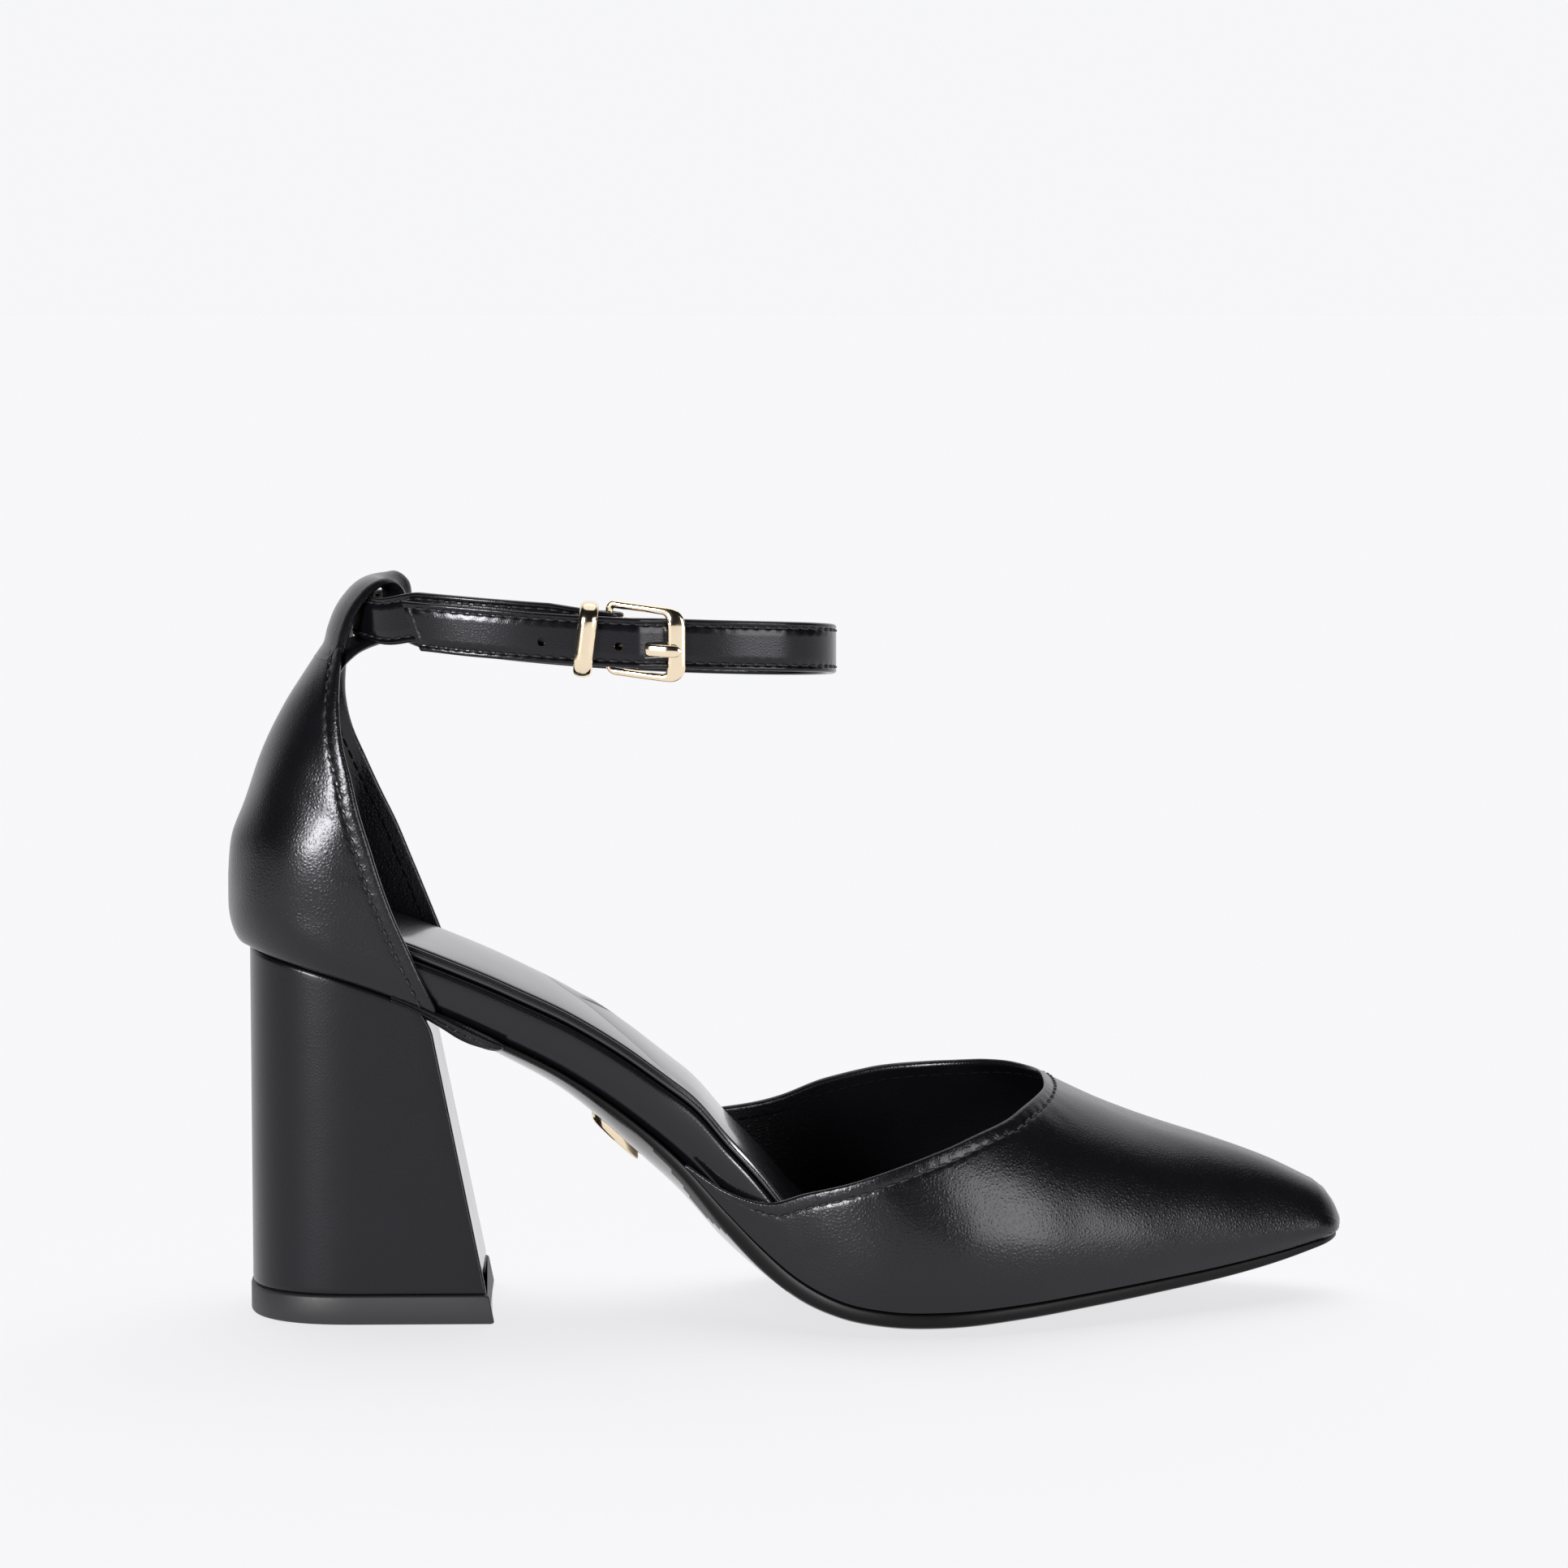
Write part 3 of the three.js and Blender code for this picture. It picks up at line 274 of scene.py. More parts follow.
# Finished calf leather, drummed and polished: soft uneven pebbles with shallow valleys, longer
# stretch lines here and there, and a thin clear top coat that lies smoother than the grain
def leatherMaterial(name, colour, deep, grainSize, grainDepth, roughness, coat, coatRoughness, waves, lines,
                    ior):
    material, tree, place = newMaterial(name)
    bendNoise = addNode(tree, "ShaderNodeTexNoise", {"Scale": 1 / (3 * mm), "Detail": 3.0}, {"Vector": place})
    bend = (grainSize * mm * 1.2,) * 3
    bent = addNode(tree, "ShaderNodeVectorMath", {"operation": "MULTIPLY_ADD", 1: bend},
                   {0: bendNoise.outputs["Color"], 2: place})
    pebbles = addNode(tree, "ShaderNodeTexVoronoi",
                      {"feature": "DISTANCE_TO_EDGE", "Scale": 1 / (grainSize * mm)},
                      {"Vector": bent.outputs[0]})
    domes = addNode(tree, "ShaderNodeMapRange", {"From Max": 0.55, "interpolation_type": "SMOOTHSTEP"},
                    {"Value": pebbles.outputs["Distance"]})
    stretched = addNode(tree, "ShaderNodeMapping", {"Scale": (1, 1, 0.35)}, {"Vector": place})
    creases = addNode(tree, "ShaderNodeTexNoise", {"Scale": 1 / (1.6 * mm), "Detail": 4.0, "Distortion": 0.6},
                      {"Vector": stretched.outputs["Vector"]})
    wave = addNode(tree, "ShaderNodeTexNoise", {"Scale": 1 / (9 * mm), "Detail": 2.0}, {"Vector": place})
    grain = addNode(tree, "ShaderNodeBump", {"Strength": 0.8, "Distance": grainDepth * mm},
                    {"Height": domes.outputs["Result"]})
    worn = addNode(tree, "ShaderNodeBump", {"Strength": 0.8, "Distance": lines * mm},
                   {"Height": creases.outputs["Fac"], "Normal": grain.outputs["Normal"]})
    soft = addNode(tree, "ShaderNodeBump", {"Strength": 0.6, "Distance": waves * mm},
                   {"Height": wave.outputs["Fac"], "Normal": worn.outputs["Normal"]})
    patch = addNode(tree, "ShaderNodeTexNoise", {"Scale": 1 / (14 * mm), "Detail": 5.0}, {"Vector": place})
    tone = addNode(tree, "ShaderNodeMix", {"data_type": "RGBA"}, {"Factor": patch.outputs["Fac"]})
    tone.inputs["A"].default_value = linearColour(deep)
    tone.inputs["B"].default_value = linearColour(colour)
    gloss = addNode(tree, "ShaderNodeMapRange", {"To Min": roughness - 0.04, "To Max": roughness + 0.05},
                    {"Value": patch.outputs["Fac"]})
    finishMaterial(tree, {"IOR": ior, "Coat Weight": coat, "Coat Roughness": coatRoughness,
                          "Specular Tint": (0.94, 0.93, 1, 1)},
                   {"Base Color": tone.outputs["Result"], "Roughness": gloss.outputs["Result"],
                    "Normal": soft.outputs["Normal"]})
    return material


# Sole leather, black and varnished: near a mirror at a low angle. Its cut edge is inked instead,
# which leaves it darker and duller.
def soleMaterial(name, colour, ior, gloss, coat):
    material, tree, place = newMaterial(name)
    smear = addNode(tree, "ShaderNodeTexNoise", {"Scale": 1 / (9 * mm), "Detail": 2.0}, {"Vector": place})
    skin = addNode(tree, "ShaderNodeBump", {"Strength": 0.2, "Distance": 0.02 * mm},
                   {"Height": smear.outputs["Fac"]})
    rough = addNode(tree, "ShaderNodeMapRange", {"To Min": gloss[0], "To Max": gloss[1]},
                    {"Value": smear.outputs["Fac"]})
    finishMaterial(tree, {"Base Color": linearColour(colour), "IOR": ior, "Coat Weight": coat,
                          "Coat Roughness": 0.08},
                   {"Roughness": rough.outputs["Result"], "Normal": skin.outputs["Normal"]})
    return material


# Moulded rubber lift, buffed on its edge: dull black with faint short marks
def buffedRubberMaterial():
    material, tree, place = newMaterial("buffedRubber")
    marks = addNode(tree, "ShaderNodeTexNoise", {"Scale": 1 / (1.2 * mm), "Detail": 6.0}, {"Vector": place})
    skin = addNode(tree, "ShaderNodeBump", {"Strength": 0.3, "Distance": 0.03 * mm},
                   {"Height": marks.outputs["Fac"]})
    gloss = addNode(tree, "ShaderNodeMapRange", {"To Min": 0.42, "To Max": 0.6},
                    {"Value": marks.outputs["Fac"]})
    finishMaterial(tree, {"Base Color": linearColour("202022"), "IOR": 1.52},
                   {"Roughness": gloss.outputs["Result"], "Normal": skin.outputs["Normal"]})
    return material


# Die-cast zinc with a pale gold plating, polished: clear mirror with slightly soft ripples
def platedGoldMaterial():
    material, tree, place = newMaterial("polishedGoldPlating")
    ripple = addNode(tree, "ShaderNodeTexNoise", {"Scale": 1 / (3.5 * mm), "Detail": 2.0}, {"Vector": place})
    skin = addNode(tree, "ShaderNodeBump", {"Strength": 0.2, "Distance": 0.05 * mm},
                   {"Height": ripple.outputs["Fac"]})
    haze = addNode(tree, "ShaderNodeMapRange", {"To Min": 0.08, "To Max": 0.16},
                   {"Value": ripple.outputs["Fac"]})
    finishMaterial(tree, {"Base Color": linearColour("F8E6C8"), "Metallic": 1.0},
                   {"Roughness": haze.outputs["Result"], "Normal": skin.outputs["Normal"]})
    return material


# Bonded polyester thread, twisted from strands: black with a slight sheen. The thread inside is
# painted darker, as painted shade inside the shoe, and is duller.
def threadMaterial(name, colour, ior, roughness):
    material, tree, place = newMaterial(name)
    twist = addNode(tree, "ShaderNodeTexWave", {"Scale": 1 / (1.1 * mm), "Distortion": 1.5},
                    {"Vector": place})
    skin = addNode(tree, "ShaderNodeBump", {"Strength": 0.4, "Distance": 0.05 * mm},
                   {"Height": twist.outputs["Fac"]})
    finishMaterial(tree, {"Base Color": linearColour(colour), "IOR": ior, "Roughness": roughness},
                   {"Normal": skin.outputs["Normal"]})
    return material


leathers = table(
    "name colour deep grainSize grainDepth roughness coat coatRoughness waves lines ior",
    ("polishedCalfLeather", "0B0A0F", "080809", 0.82, 0.044, 0.275, 0.12, 0.18, 0.03, 0.01, 1.44),
    ("strapLeather", "0B0A0F", "09090B", 0.6, 0.014, 0.2, 0.06, 0.16, 0.01, 0.006, 1.4),
    ("stretchedCalfLeather", "0C0B10", "09090B", 0.7, 0.01, 0.22, 0.15, 0.12, 0.012, 0.008, 1.44),
    ("heelCoverLeather", "0B0A0F", "09090B", 0.8, 0.015, 0.27, 0.05, 0.18, 0.015, 0.01, 1.41),
    ("sockLeather", "202024", "18181C", 0.6, 0.006, 0.24, 0.6, 0.1, 0.01, 0.004, 1.5))
upperLeather, strapLeather, bandLeather, heelLeather, sockLeather = (
    leatherMaterial(**row) for row in leathers)
varnishedSole = soleMaterial("varnishedSoleLeather", "0B0B0D", ior=1.5, gloss=(0.14, 0.22), coat=0.5)
inkedEdge = soleMaterial("inkedSoleEdge", "060607", ior=1.29, gloss=(0.36, 0.46), coat=0)
buffedRubber = buffedRubberMaterial()
platedGold = platedGoldMaterial()
bondedThread = threadMaterial("bondedThread", "161618", ior=1.45, roughness=0.45)
# The inside thread's darker colour is painted shade inside the shoe; its higher roughness makes it duller.
shadedInsideThread = threadMaterial("insideThreadInPaintedShade", "060607", ior=1.2, roughness=0.8)
print("materials made")


# Stitches: short rounded threads that lie in a groove and dip into a hole at each end

def stitchRow(name, spots, stitch, thread=bondedThread):
    # spots: a point in the groove, the way out of the leather there and the length along the seam
    pitch = stitch["pitch"]
    points, faces = [], []
    around, along = 8, 6
    row = 0
    for number in range(math.ceil(spots[0][2] / pitch), int(spots[-1][2] / pitch)):
        middles = []
        for k in range(along + 1):
            at = number * pitch + (pitch - stitch["length"]) / 2 + stitch["length"] * k / along
            while row < len(spots) - 2 and spots[row + 1][2] < at:
                row += 1
            a, b = spots[row], spots[row + 1]
            t = (at - a[2]) / max(b[2] - a[2], 1e-6)
            up = a[1].lerp(b[1], t).normalized()
            share = 2 * k / along - 1
            middles.append((a[0].lerp(b[0], t) + up * stitch["lift"] * (1 - 1.6 * share ** 4), up, share))
        if (middles[-1][0] - middles[0][0]).length > pitch:
            continue
        ahead = (middles[-1][0] - middles[0][0]).normalized()
        base = len(points)
        for middle, up, share in middles:
            side = ahead.cross(up).normalized()
            radius = stitch["radius"] * (1 - 0.75 * share ** 4)
            for j in range(around):
                turn = 2 * math.pi * j / around
                points.append(middle + side * math.cos(turn) * radius + up * math.sin(turn) * radius)
        faces += gridFaces(along + 1, around, wrapColumns=True, start=base)
        faces.append(tuple(range(base + around - 1, base - 1, -1)))
        faces.append(tuple(base + along * around + j for j in range(around)))
    return makePiece(name, points, faces, thread)


def seamRelief(look, real, along, pitch):
    # A folded edge that swells, then a groove that each stitch pulls down at its two holes
    hole = 0.5 + 0.5 * math.cos(2 * math.pi * along / pitch)
    relief = look["foldLift"] * bell(real, look["fold"], 0.9)
    relief += 0.06 * (1 - hole) * bell(real, look["fold"] + 0.9, 0.8)
    return relief - look["groove"] * (0.5 + 0.7 * hole) * bell(real, look["stitchIn"], 0.5)


def closeWall(outer, inner, lip):
    # A wall from outer and inner columns, with rounded edges between their first points
    columns = []
    for out, back in zip(outer, inner):
        edge = []
        middle = (out[0] + back[0]) / 2
        half = (out[0] - back[0]) / 2
        rise = (out[0] - out[1]).normalized() * half.length * lip
        for k in range(1, 4):
            turn = math.pi * k / 4
            edge.append(middle + half * math.cos(turn) + rise * math.sin(turn))
        columns.append(list(reversed(out)) + edge + back)
    return columns


def wallPiece(name, columns, material, nodes):
    count = len(columns[0])
    points = allPoints(columns)
    faces = gridFaces(len(columns), count)
    for i in range(len(columns) - 1):
        faces.append((i * count, i * count + count - 1, (i + 1) * count + count - 1, (i + 1) * count))
    for i in (0, len(columns) - 1):
        for j in range(count // 2):
            a, b = i * count + j, i * count + count - 1 - j
            if b - a > 2:
                faces.append((a, a + 1, b - 1, b))
    return makePiece(name, points, faces, material, nodes, sharp=60)


# Vamp: a pointed toe part with a low open throat, its topline folded over and stitched

vampLook = dict(columns=250, rows=22, fanEnd=0.86, fanPower=1.6, rowPower=1.6, fold=0.9, foldLift=0.08,
                stitchIn=2.9, groove=0.18, wave=0.3, waveLength=13, pucker=0.14)
vampStitch = dict(pitch=3.1, length=2.5, radius=0.33, lift=0.2)
toplineTable = table(
    "step outerUp innerUp outer inner",
    (0, 0, 0, 0.404, 0.389),
    (0.05, 0.05, 0.1, 0.438, 0.411),
    (0.1, 0.118, 0.185, 0.469, 0.433),
    (0.2, 0.267, 0.326, 0.514, 0.477),
    (0.3, 0.446, 0.475, 0.584, 0.526),
    (0.4, 0.576, 0.59, 0.628, 0.576),
    (0.5, 0.672, 0.68, 0.656, 0.614),
    (0.6, 0.78, 0.785, 0.685, 0.654),
    (0.7, 0.87, 0.872, 0.703, 0.682),
    (0.8, 0.93, 0.93, 0.715, 0.701),
    (0.9, 0.975, 0.975, 0.724, 0.719),
    (1, 1, 1, 0.7275, 0.7275))
edgeRows = [0.25, 0.6, 1.1, 1.7, 2.2, 2.55, 2.9, 3.25, 3.6, 4.3, 5.5, 7.5]


def vampParameters(step, side, v):
    top = tableValue(toplineTable, "outer" if side < 0 else "inner", step, "step")
    height = tableValue(toplineTable, "outerUp" if side < 0 else "innerUp", step, "step")
    spread = min(step / vampLook["fanEnd"], 1)
    foot = min(top + (1 - toplineTable[-1]["outer"]) * spread ** vampLook["fanPower"], 1)
    footHeight = max((step - vampLook["fanEnd"]) / (1 - vampLook["fanEnd"]), 0)
    return mix(foot, top, v ** vampLook["rowPower"]), mix(footHeight, height, v)


def vampSkin(step, side, v):
    at, height = vampParameters(step, side, v)
    skin = lastPoint(at, height, side, wall["vamp"] + wall["seam"])
    back = lastPoint(at, height, side, wall["seam"])
    out = skin - back
    return skin, back, out.normalized() if out.length > 1e-6 else Vector((0, side, 0))


def vampColumn(step, side):
    # How far each share of a column lies from the topline
    shares = [1 - (k / 36) ** 1.3 for k in range(37)]
    lengths = arcPoints([vampSkin(step, side, v)[0] for v in shares])
    total = lengths[-1]
    scale = min(total / 16, 1)

    def shareAt(distance):
        row = 0
        while row < len(lengths) - 2 and lengths[row + 1] < distance:
            row += 1
        t = (distance - lengths[row]) / max(lengths[row + 1] - lengths[row], 1e-6)
        return max(mix(shares[row], shares[row + 1], min(t, 1)), 0)

    return total, scale, shareAt


def buildVamp():
    look, pitch = vampLook, vampStitch["pitch"]
    count = look["columns"]
    stops = [(i / count, -1) for i in range(count + 1)] + [(i / count, 1) for i in range(count - 1, -1, -1)]
    columns = [vampColumn(*stop) for stop in stops]
    seam = [vampSkin(*stop, column[2](look["stitchIn"] * column[1])) for stop, column in zip(stops, columns)]
    along = arcPoints([spot[0] for spot in seam])
    outer, inner = [], []
    for (step, side), (total, scale, shareAt), here in zip(stops, columns, along):
        wanted = [d * scale for d in edgeRows]
        wanted += [mix(wanted[-1], total, (k + 1) / look["rows"]) for k in range(look["rows"])]
        skinRow, backRow = [], []
        for distance in wanted:
            skin, back, out = vampSkin(step, side, shareAt(distance))
            real = distance / max(scale, 1e-6)
            calm = smoothStep(distance, 4, 16) * smoothStep(total - distance, 0, 9)
            ripple = noise.noise(skin / look["waveLength"]) * look["wave"] * calm
            # Short folds that the seam draws in the leather below it
            gather = noise.noise(Vector((here / 4.5, distance / 14, 3))) * look["pucker"]
            gather *= bell(distance, 6, 4.5)
            relief = seamRelief(look, real, here, pitch)
            skinRow.append(skin + out * (relief * scale + ripple + gather * scale))
            backRow.append(back)
        outer.append(skinRow)
        inner.append(backRow)
    wallPiece("vampLeather", closeWall(outer, inner, 0.8), upperLeather, ["vamp"])
    kept = [(spot, here) for spot, here, column in zip(seam, along, columns) if column[0] > 7]
    stitchRow("vampStitches", [(s[0] - s[2] * look["groove"], s[2], here) for s, here in kept], vampStitch)
    stitchRow("vampStitchesInside", [(s[1], -s[2], here) for s, here in kept], dict(vampStitch, lift=-0.14),
              shadedInsideThread)


buildVamp()
print("vamp made")


# Quarter: the tall narrow heel part, folded and stitched along both front edges

quarterSizes = dict(width=2 * (wall["heelShare"] * last["ball"] + wall["quarter"] + wall["ease"]),
                    height=66.5, tuck=3, tuckHeight=9)
quarterLook = dict(rows=170, columns=26, rowPower=1.05, topRound=0.6, stitchIn=3.1, groove=0.26, fold=1.0,
                   foldLift=0.16, wave=0.5, waveLength=15, pucker=0.16)
quarterStitch = dict(pitch=3.0, length=2.4, radius=0.33, lift=0.2)
quarterTable = table(
    "up back width outer inner",
    (-0.18, 0.002, 0.483, 0.186, 0.202),
    (0, 0.002, 0.491, 0.165, 0.183),
    (0.13, 0, 0.5, 0.15, 0.169),
    (0.25, 0, 0.5, 0.1385, 0.156),
    (0.36, 0.004, 0.496, 0.1295, 0.144),
    (0.47, 0.015, 0.485, 0.1205, 0.13),
    (0.58, 0.025, 0.47, 0.1135, 0.117),
    (0.69, 0.037, 0.456, 0.106, 0.105),
    (0.8, 0.052, 0.441, 0.1026, 0.0995),
    (0.9, 0.069, 0.43, 0.1026, 0.1005),
    (1, 0.0866, 0.426, 0.1038, 0.1038))


def heelTopZ(x):
    return featherZ(shareOf(x), -1) - wall["seam"]


def quarterPoint(up, fromEdge, side, inset):
    # fromEdge is the distance in mm from the front edge, or a share of the way to the back
    # when it is given as a negative number
    z = seatBack + up * quarterSizes["height"]
    x, y = counterBack, 0
    for _ in range(6):
        level = (z - seatBack) / quarterSizes["height"]
        above = z - heelTopZ(x) - wall["seam"]
        tuck = quarterSizes["tuck"] * (1 - roundEnd(above, quarterSizes["tuckHeight"]))
        radius = quarterSizes["width"] * tableValue(quarterTable, "width", level, "up") - tuck - inset
        back = xOf(tableValue(quarterTable, "back", level, "up")) + tuck + inset
        front = xOf(tableValue(quarterTable, "outer" if side < 0 else "inner", level, "up"))
        straight = front - back - radius
        turn = math.pi / 2 if straight > 0 else math.acos(max(1 - (front - back) / radius, -1))
        length = turn * radius + max(straight, 0)
        along = length * -fromEdge if fromEdge < 0 else length - fromEdge
        angle = min(along / radius, turn)
        x = back + radius * (1 - math.cos(angle)) + max(along - turn * radius, 0)
        y = side * radius * math.sin(angle)
        z = mix(heelTopZ(x) + wall["seam"], seatBack + quarterSizes["height"], up)
    return Vector((x, y, z)), length


def quarterSkin(up, distance, side):
    skin, length = quarterPoint(up, distance, side, 0)
    share = max(1 - distance / length, 1e-9)
    back = quarterPoint(up, -share, side, wall["quarter"])[0]
    return skin, back, (skin - back).normalized(), length


def buildQuarter():
    look, pitch = quarterLook, quarterStitch["pitch"]
    ups = [(i / look["rows"]) ** look["rowPower"] for i in range(look["rows"])] + [0.9965, 0.999, 1]
    edge = [0.3, 0.7, 1.2, 1.8, 2.35, 2.7, 3.1, 3.5, 3.9, 4.6, 6, 8]
    seams, scales, along = {}, {}, {}
    for side in (-1, 1):
        scales[side] = [min(quarterPoint(up, -1, side, 0)[1] / 14, 1) for up in ups]
        seams[side] = [quarterSkin(up, look["stitchIn"] * s, side) for up, s in zip(ups, scales[side])]
        along[side] = arcPoints([spot[0] for spot in seams[side]])
    rings = []
    for i, up in enumerate(ups):
        outRow, inRow = [], []
        for side in (-1, 1):
            length = seams[side][i][3]
            scale = scales[side][i]
            stops = [d * scale for d in edge]
            stops += [mix(8 * scale, length, (k + 1) / look["columns"]) for k in range(look["columns"])]
            outSide, inSide = [], []
            for distance in stops:
                skin, back, out, _ = quarterSkin(up, distance, side)
                calm = smoothStep(distance, 4, 12) * smoothStep(up, 0, 0.2) * smoothStep(1 - up, 0, 0.15)
                ripple = noise.noise(skin / look["waveLength"] + Vector((7, 3, 1))) * look["wave"] * calm
                here = along[side][i]
                gather = noise.noise(Vector((here / 5, distance / 14, 8))) * look["pucker"]
                gather *= bell(distance, 6, 4)
                relief = seamRelief(look, distance / scale, here, pitch) * scale
                below = (1 - up) * quarterSizes["height"]
                ease = look["topRound"] * (1 - roundEnd(below, look["topRound"] * 2))
                outSide.append(skin + out * (relief + ripple + gather * smoothStep(1 - up, 0, 0.2) - ease))
                inSide.append(back + out * ease)
            outRow = outSide if side < 0 else outRow + outSide[::-1][1:]
            inRow = inSide if side < 0 else inRow + inSide[::-1][1:]
        ring = list(outRow)
        for end, other, match in ((outRow[-1], outRow[-2], inRow[-1]), (outRow[0], outRow[1], inRow[0])):
            middle, half = (end + match) / 2, (end - match) / 2
            push = (end - other).normalized() * half.length * 0.8
            turns = [math.pi * k / 4 for k in (1, 2, 3)]
            lip = [middle + half * math.cos(t) + push * math.sin(t) for t in turns]
            ring += lip + inRow[::-1] if end is outRow[-1] else lip[::-1]
        rings.append(ring)
    count, wide = len(rings[0]), len(outRow)
    faces = gridFaces(len(rings), count, wrapColumns=True)
    for start in (0, (len(rings) - 1) * count):
        faces += [(start + j, start + j + 1, start + 2 * wide + 1 - j, start + 2 * wide + 2 - j)
                  for j in range(wide - 1)]
        faces.append((start, start + 2 * wide + 2, *[start + k for k in range(2 * wide + 3, count)]))
        faces.append(tuple(start + k for k in range(wide - 1, wide + 4)))
    makePiece("quarterLeather", allPoints(rings), faces, upperLeather, ["quarter"], sharp=60)
    for side, name in ((-1, "Outer"), (1, "Inner")):
        spots = list(zip(seams[side], along[side]))
        onFace = [(s[0] - s[2] * look["groove"], s[2], here) for s, here in spots]
        stitchRow("quarterStitches" + name, onFace, quarterStitch)
        inside = dict(quarterStitch, lift=-0.14)
        stitchRow("quarterInside" + name, [(s[1], -s[2], here) for s, here in spots], inside, shadedInsideThread)


buildQuarter()
print("quarter made")


# Insole board with its leather band, the sock on it and the outsole under it

bottomSizes = dict(edge=3.2, margin=2.1, toeWelt=-1, belly=4.5, bellyPower=2.6, breastAt=0.19,
                   board=9.4, tuck=3, heelRound=22, toeRound=6, boardGap=0.8, toeGap=2.4,
                   sockInset=0.7, sockStations=300, breastLean=0.2)
# The rear sock sheet ends along a slanted line over the arch pad; the pad has a second, softer
# line near the inner edge. Both give y for x.
sheetEnd = table("x y", (36, 22), (40, 14), (43, 8.5), (47.5, 4.4), (54.2, -4), (62.5, -12.9), (69, -22),
                 (72, -30))
padLine = table("x y", (47.5, 7.8), (52, 11.5), (56.7, 15.5), (62, 18), (70, 20), (90, 22))
padSizes = dict(step=0.28, edgeLift=0.12, slope=0.1, run=9, climbFrom=38, climbTo=48, roll=0.35, rollRun=1.6,
                rollFrom=46, rollTo=50, groove=0.3, fadeFrom=84, fadeTo=112)
bottomTable = table(
    "at board edge belly margin",
    (0.02, 1, 0.3, 0.6, -0.8),
    (0.18, 1, 0.3, 0.6, -0.8),
    (0.24, 1, 0.3, 0.9, -0.8),
    (0.3, 1, 0.3, 1.1, -0.8),
    (0.36, 1, 0.5, 1.5, -0.6),
    (0.4, 1, 0.9, 1.3, -0.3),
    (0.44, 1.02, 1.4, 0.95, 0.3),
    (0.47, 1.05, 1.5, 0.62, 0.8),
    (0.5, 0.9, 1.35, 0.45, 1),
    (0.54, 0.62, 1.1, 0.48, 1),
    (0.58, 0.4, 1, 0.62, 1),
    (0.63, 0.3, 1, 0.55, 1),
    (0.7, 0.28, 0.95, 0.42, 1),
    (0.82, 0.27, 0.85, 0.2, 1),
    (0.94, 0.27, 0.6, 0.05, 1),
    (1, 0.27, 0.25, 0, 1))


def stationRow(back, front, backRound, frontRound, count=150):
    ends = [0.002, 0.01, 0.03, 0.06, 0.1, 0.16, 0.24, 0.34, 0.46, 0.6, 0.78]
    first = [back + share * backRound for share in ends] if backRound else [back]
    final = [front - share * frontRound for share in reversed(ends)]
    low, high = back + backRound, front - frontRound
    inside = [mix(low, high, i / count) for i in range(1 if not backRound else 0, count + 1)]
    return [shareOf(x) for x in first + inside + final]


def boardBack(inset):
    return counterBack + quarterSizes["tuck"] + wall["quarter"] + bottomSizes["boardGap"] + inset


def boardFront(inset):
    return xOf(1) - wall["vamp"] - last["noseSetBack"] - bottomSizes["toeGap"] - inset


def boardEdge(at, side, inset, tuck):
    x = xOf(at)
    heelRound = roundEnd(x - boardBack(inset), bottomSizes["heelRound"] - inset)
    toeRound = roundEnd(boardFront(inset) - x, bottomSizes["toeRound"])
    middle = (lastEdge(at, 1) + lastEdge(at, -1)) / 2
    half = abs(lastEdge(at, side) - side * (inset + tuck) - middle)
    return middle + side * half * heelRound * toeRound


def boardRise(at):
    slope = (featherZ(at - 0.01, 0) - featherZ(at + 0.01, 0)) / (0.02 * last["length"])
    return bottomSizes["board"] * tableValue(bottomTable, "board", at) * math.hypot(1, slope)


def capRing(start, count):
    return tuple(range(start, start + count))


def loftPiece(name, rings, material, nodes, sharp=45, second=None):
    count = len(rings[0])
    faces = gridFaces(len(rings), count, wrapColumns=True)
    for start in (0, (len(rings) - 1) * count):
        for i in range((count - 1) // 2):
            a, b, c, d = start + i, start + i + 1, start + count - 2 - i, start + count - 1 - i
            faces.append((a, b, d) if b == c else (a, b, c, d))
    return makePiece(name, allPoints(rings), faces, material, nodes, sharp, second)


# Side profile of the band: tucked foot, full side and a rounded rim
bandSide = [(0, 1), (0.05, 0.8), (0.14, 0.5), (0.26, 0.24), (0.4, 0.1), (0.56, 0.02), (0.72, 0), (0.86, 0),
            (0.93, 0.03), (0.97, 0.1), (1, 0.26)]
# Side profile of the sock in mm, from its foot: how high, and how far in. Two bevelled beads and a
# groove run along its rim.
sockSide = [(0, 0.9), (0.1, 0.45), (0.3, 0.12), (0.6, 0), (1.05, 0), (1.2, 0.04), (1.27, 0.12), (1.36, 0.72),
            (1.3, 0.8), (1.4, 0.84), (2, 0.86), (2.12, 0.9), (2.2, 1), (2.29, 1.6), (2.22, 1.68),
            (2.14, 1.74), (2.18, 1.82), (2.4, 1.9), (2.54, 2), (2.6, 2.12)]


def sockStops(low, high, x):
    # Columns follow the sheet's end and the pad's line, so that both stay crisp
    first = min(max(tableValue(sheetEnd, "y", x, "x"), low + 2), high - 4)
    second = min(max(tableValue(padLine, "y", x, "x"), first + 1.4), high - 2.4)
    stops = [mix(low, first - 1.2, k / 30) for k in range(1, 31)]
    stops += [first + d for d in (-0.9, -0.6, -0.35, -0.12, 0.05, 0.2, 0.4)]
    stops += [mix(first + 0.4, second - 0.6, k / 14) for k in range(1, 15)]
    stops += [second + d for d in (-0.35, -0.15, 0, 0.15, 0.4, 0.8, 1.4)]
    return stops + [mix(second + 1.4, high, k / 10) for k in range(1, 10)]


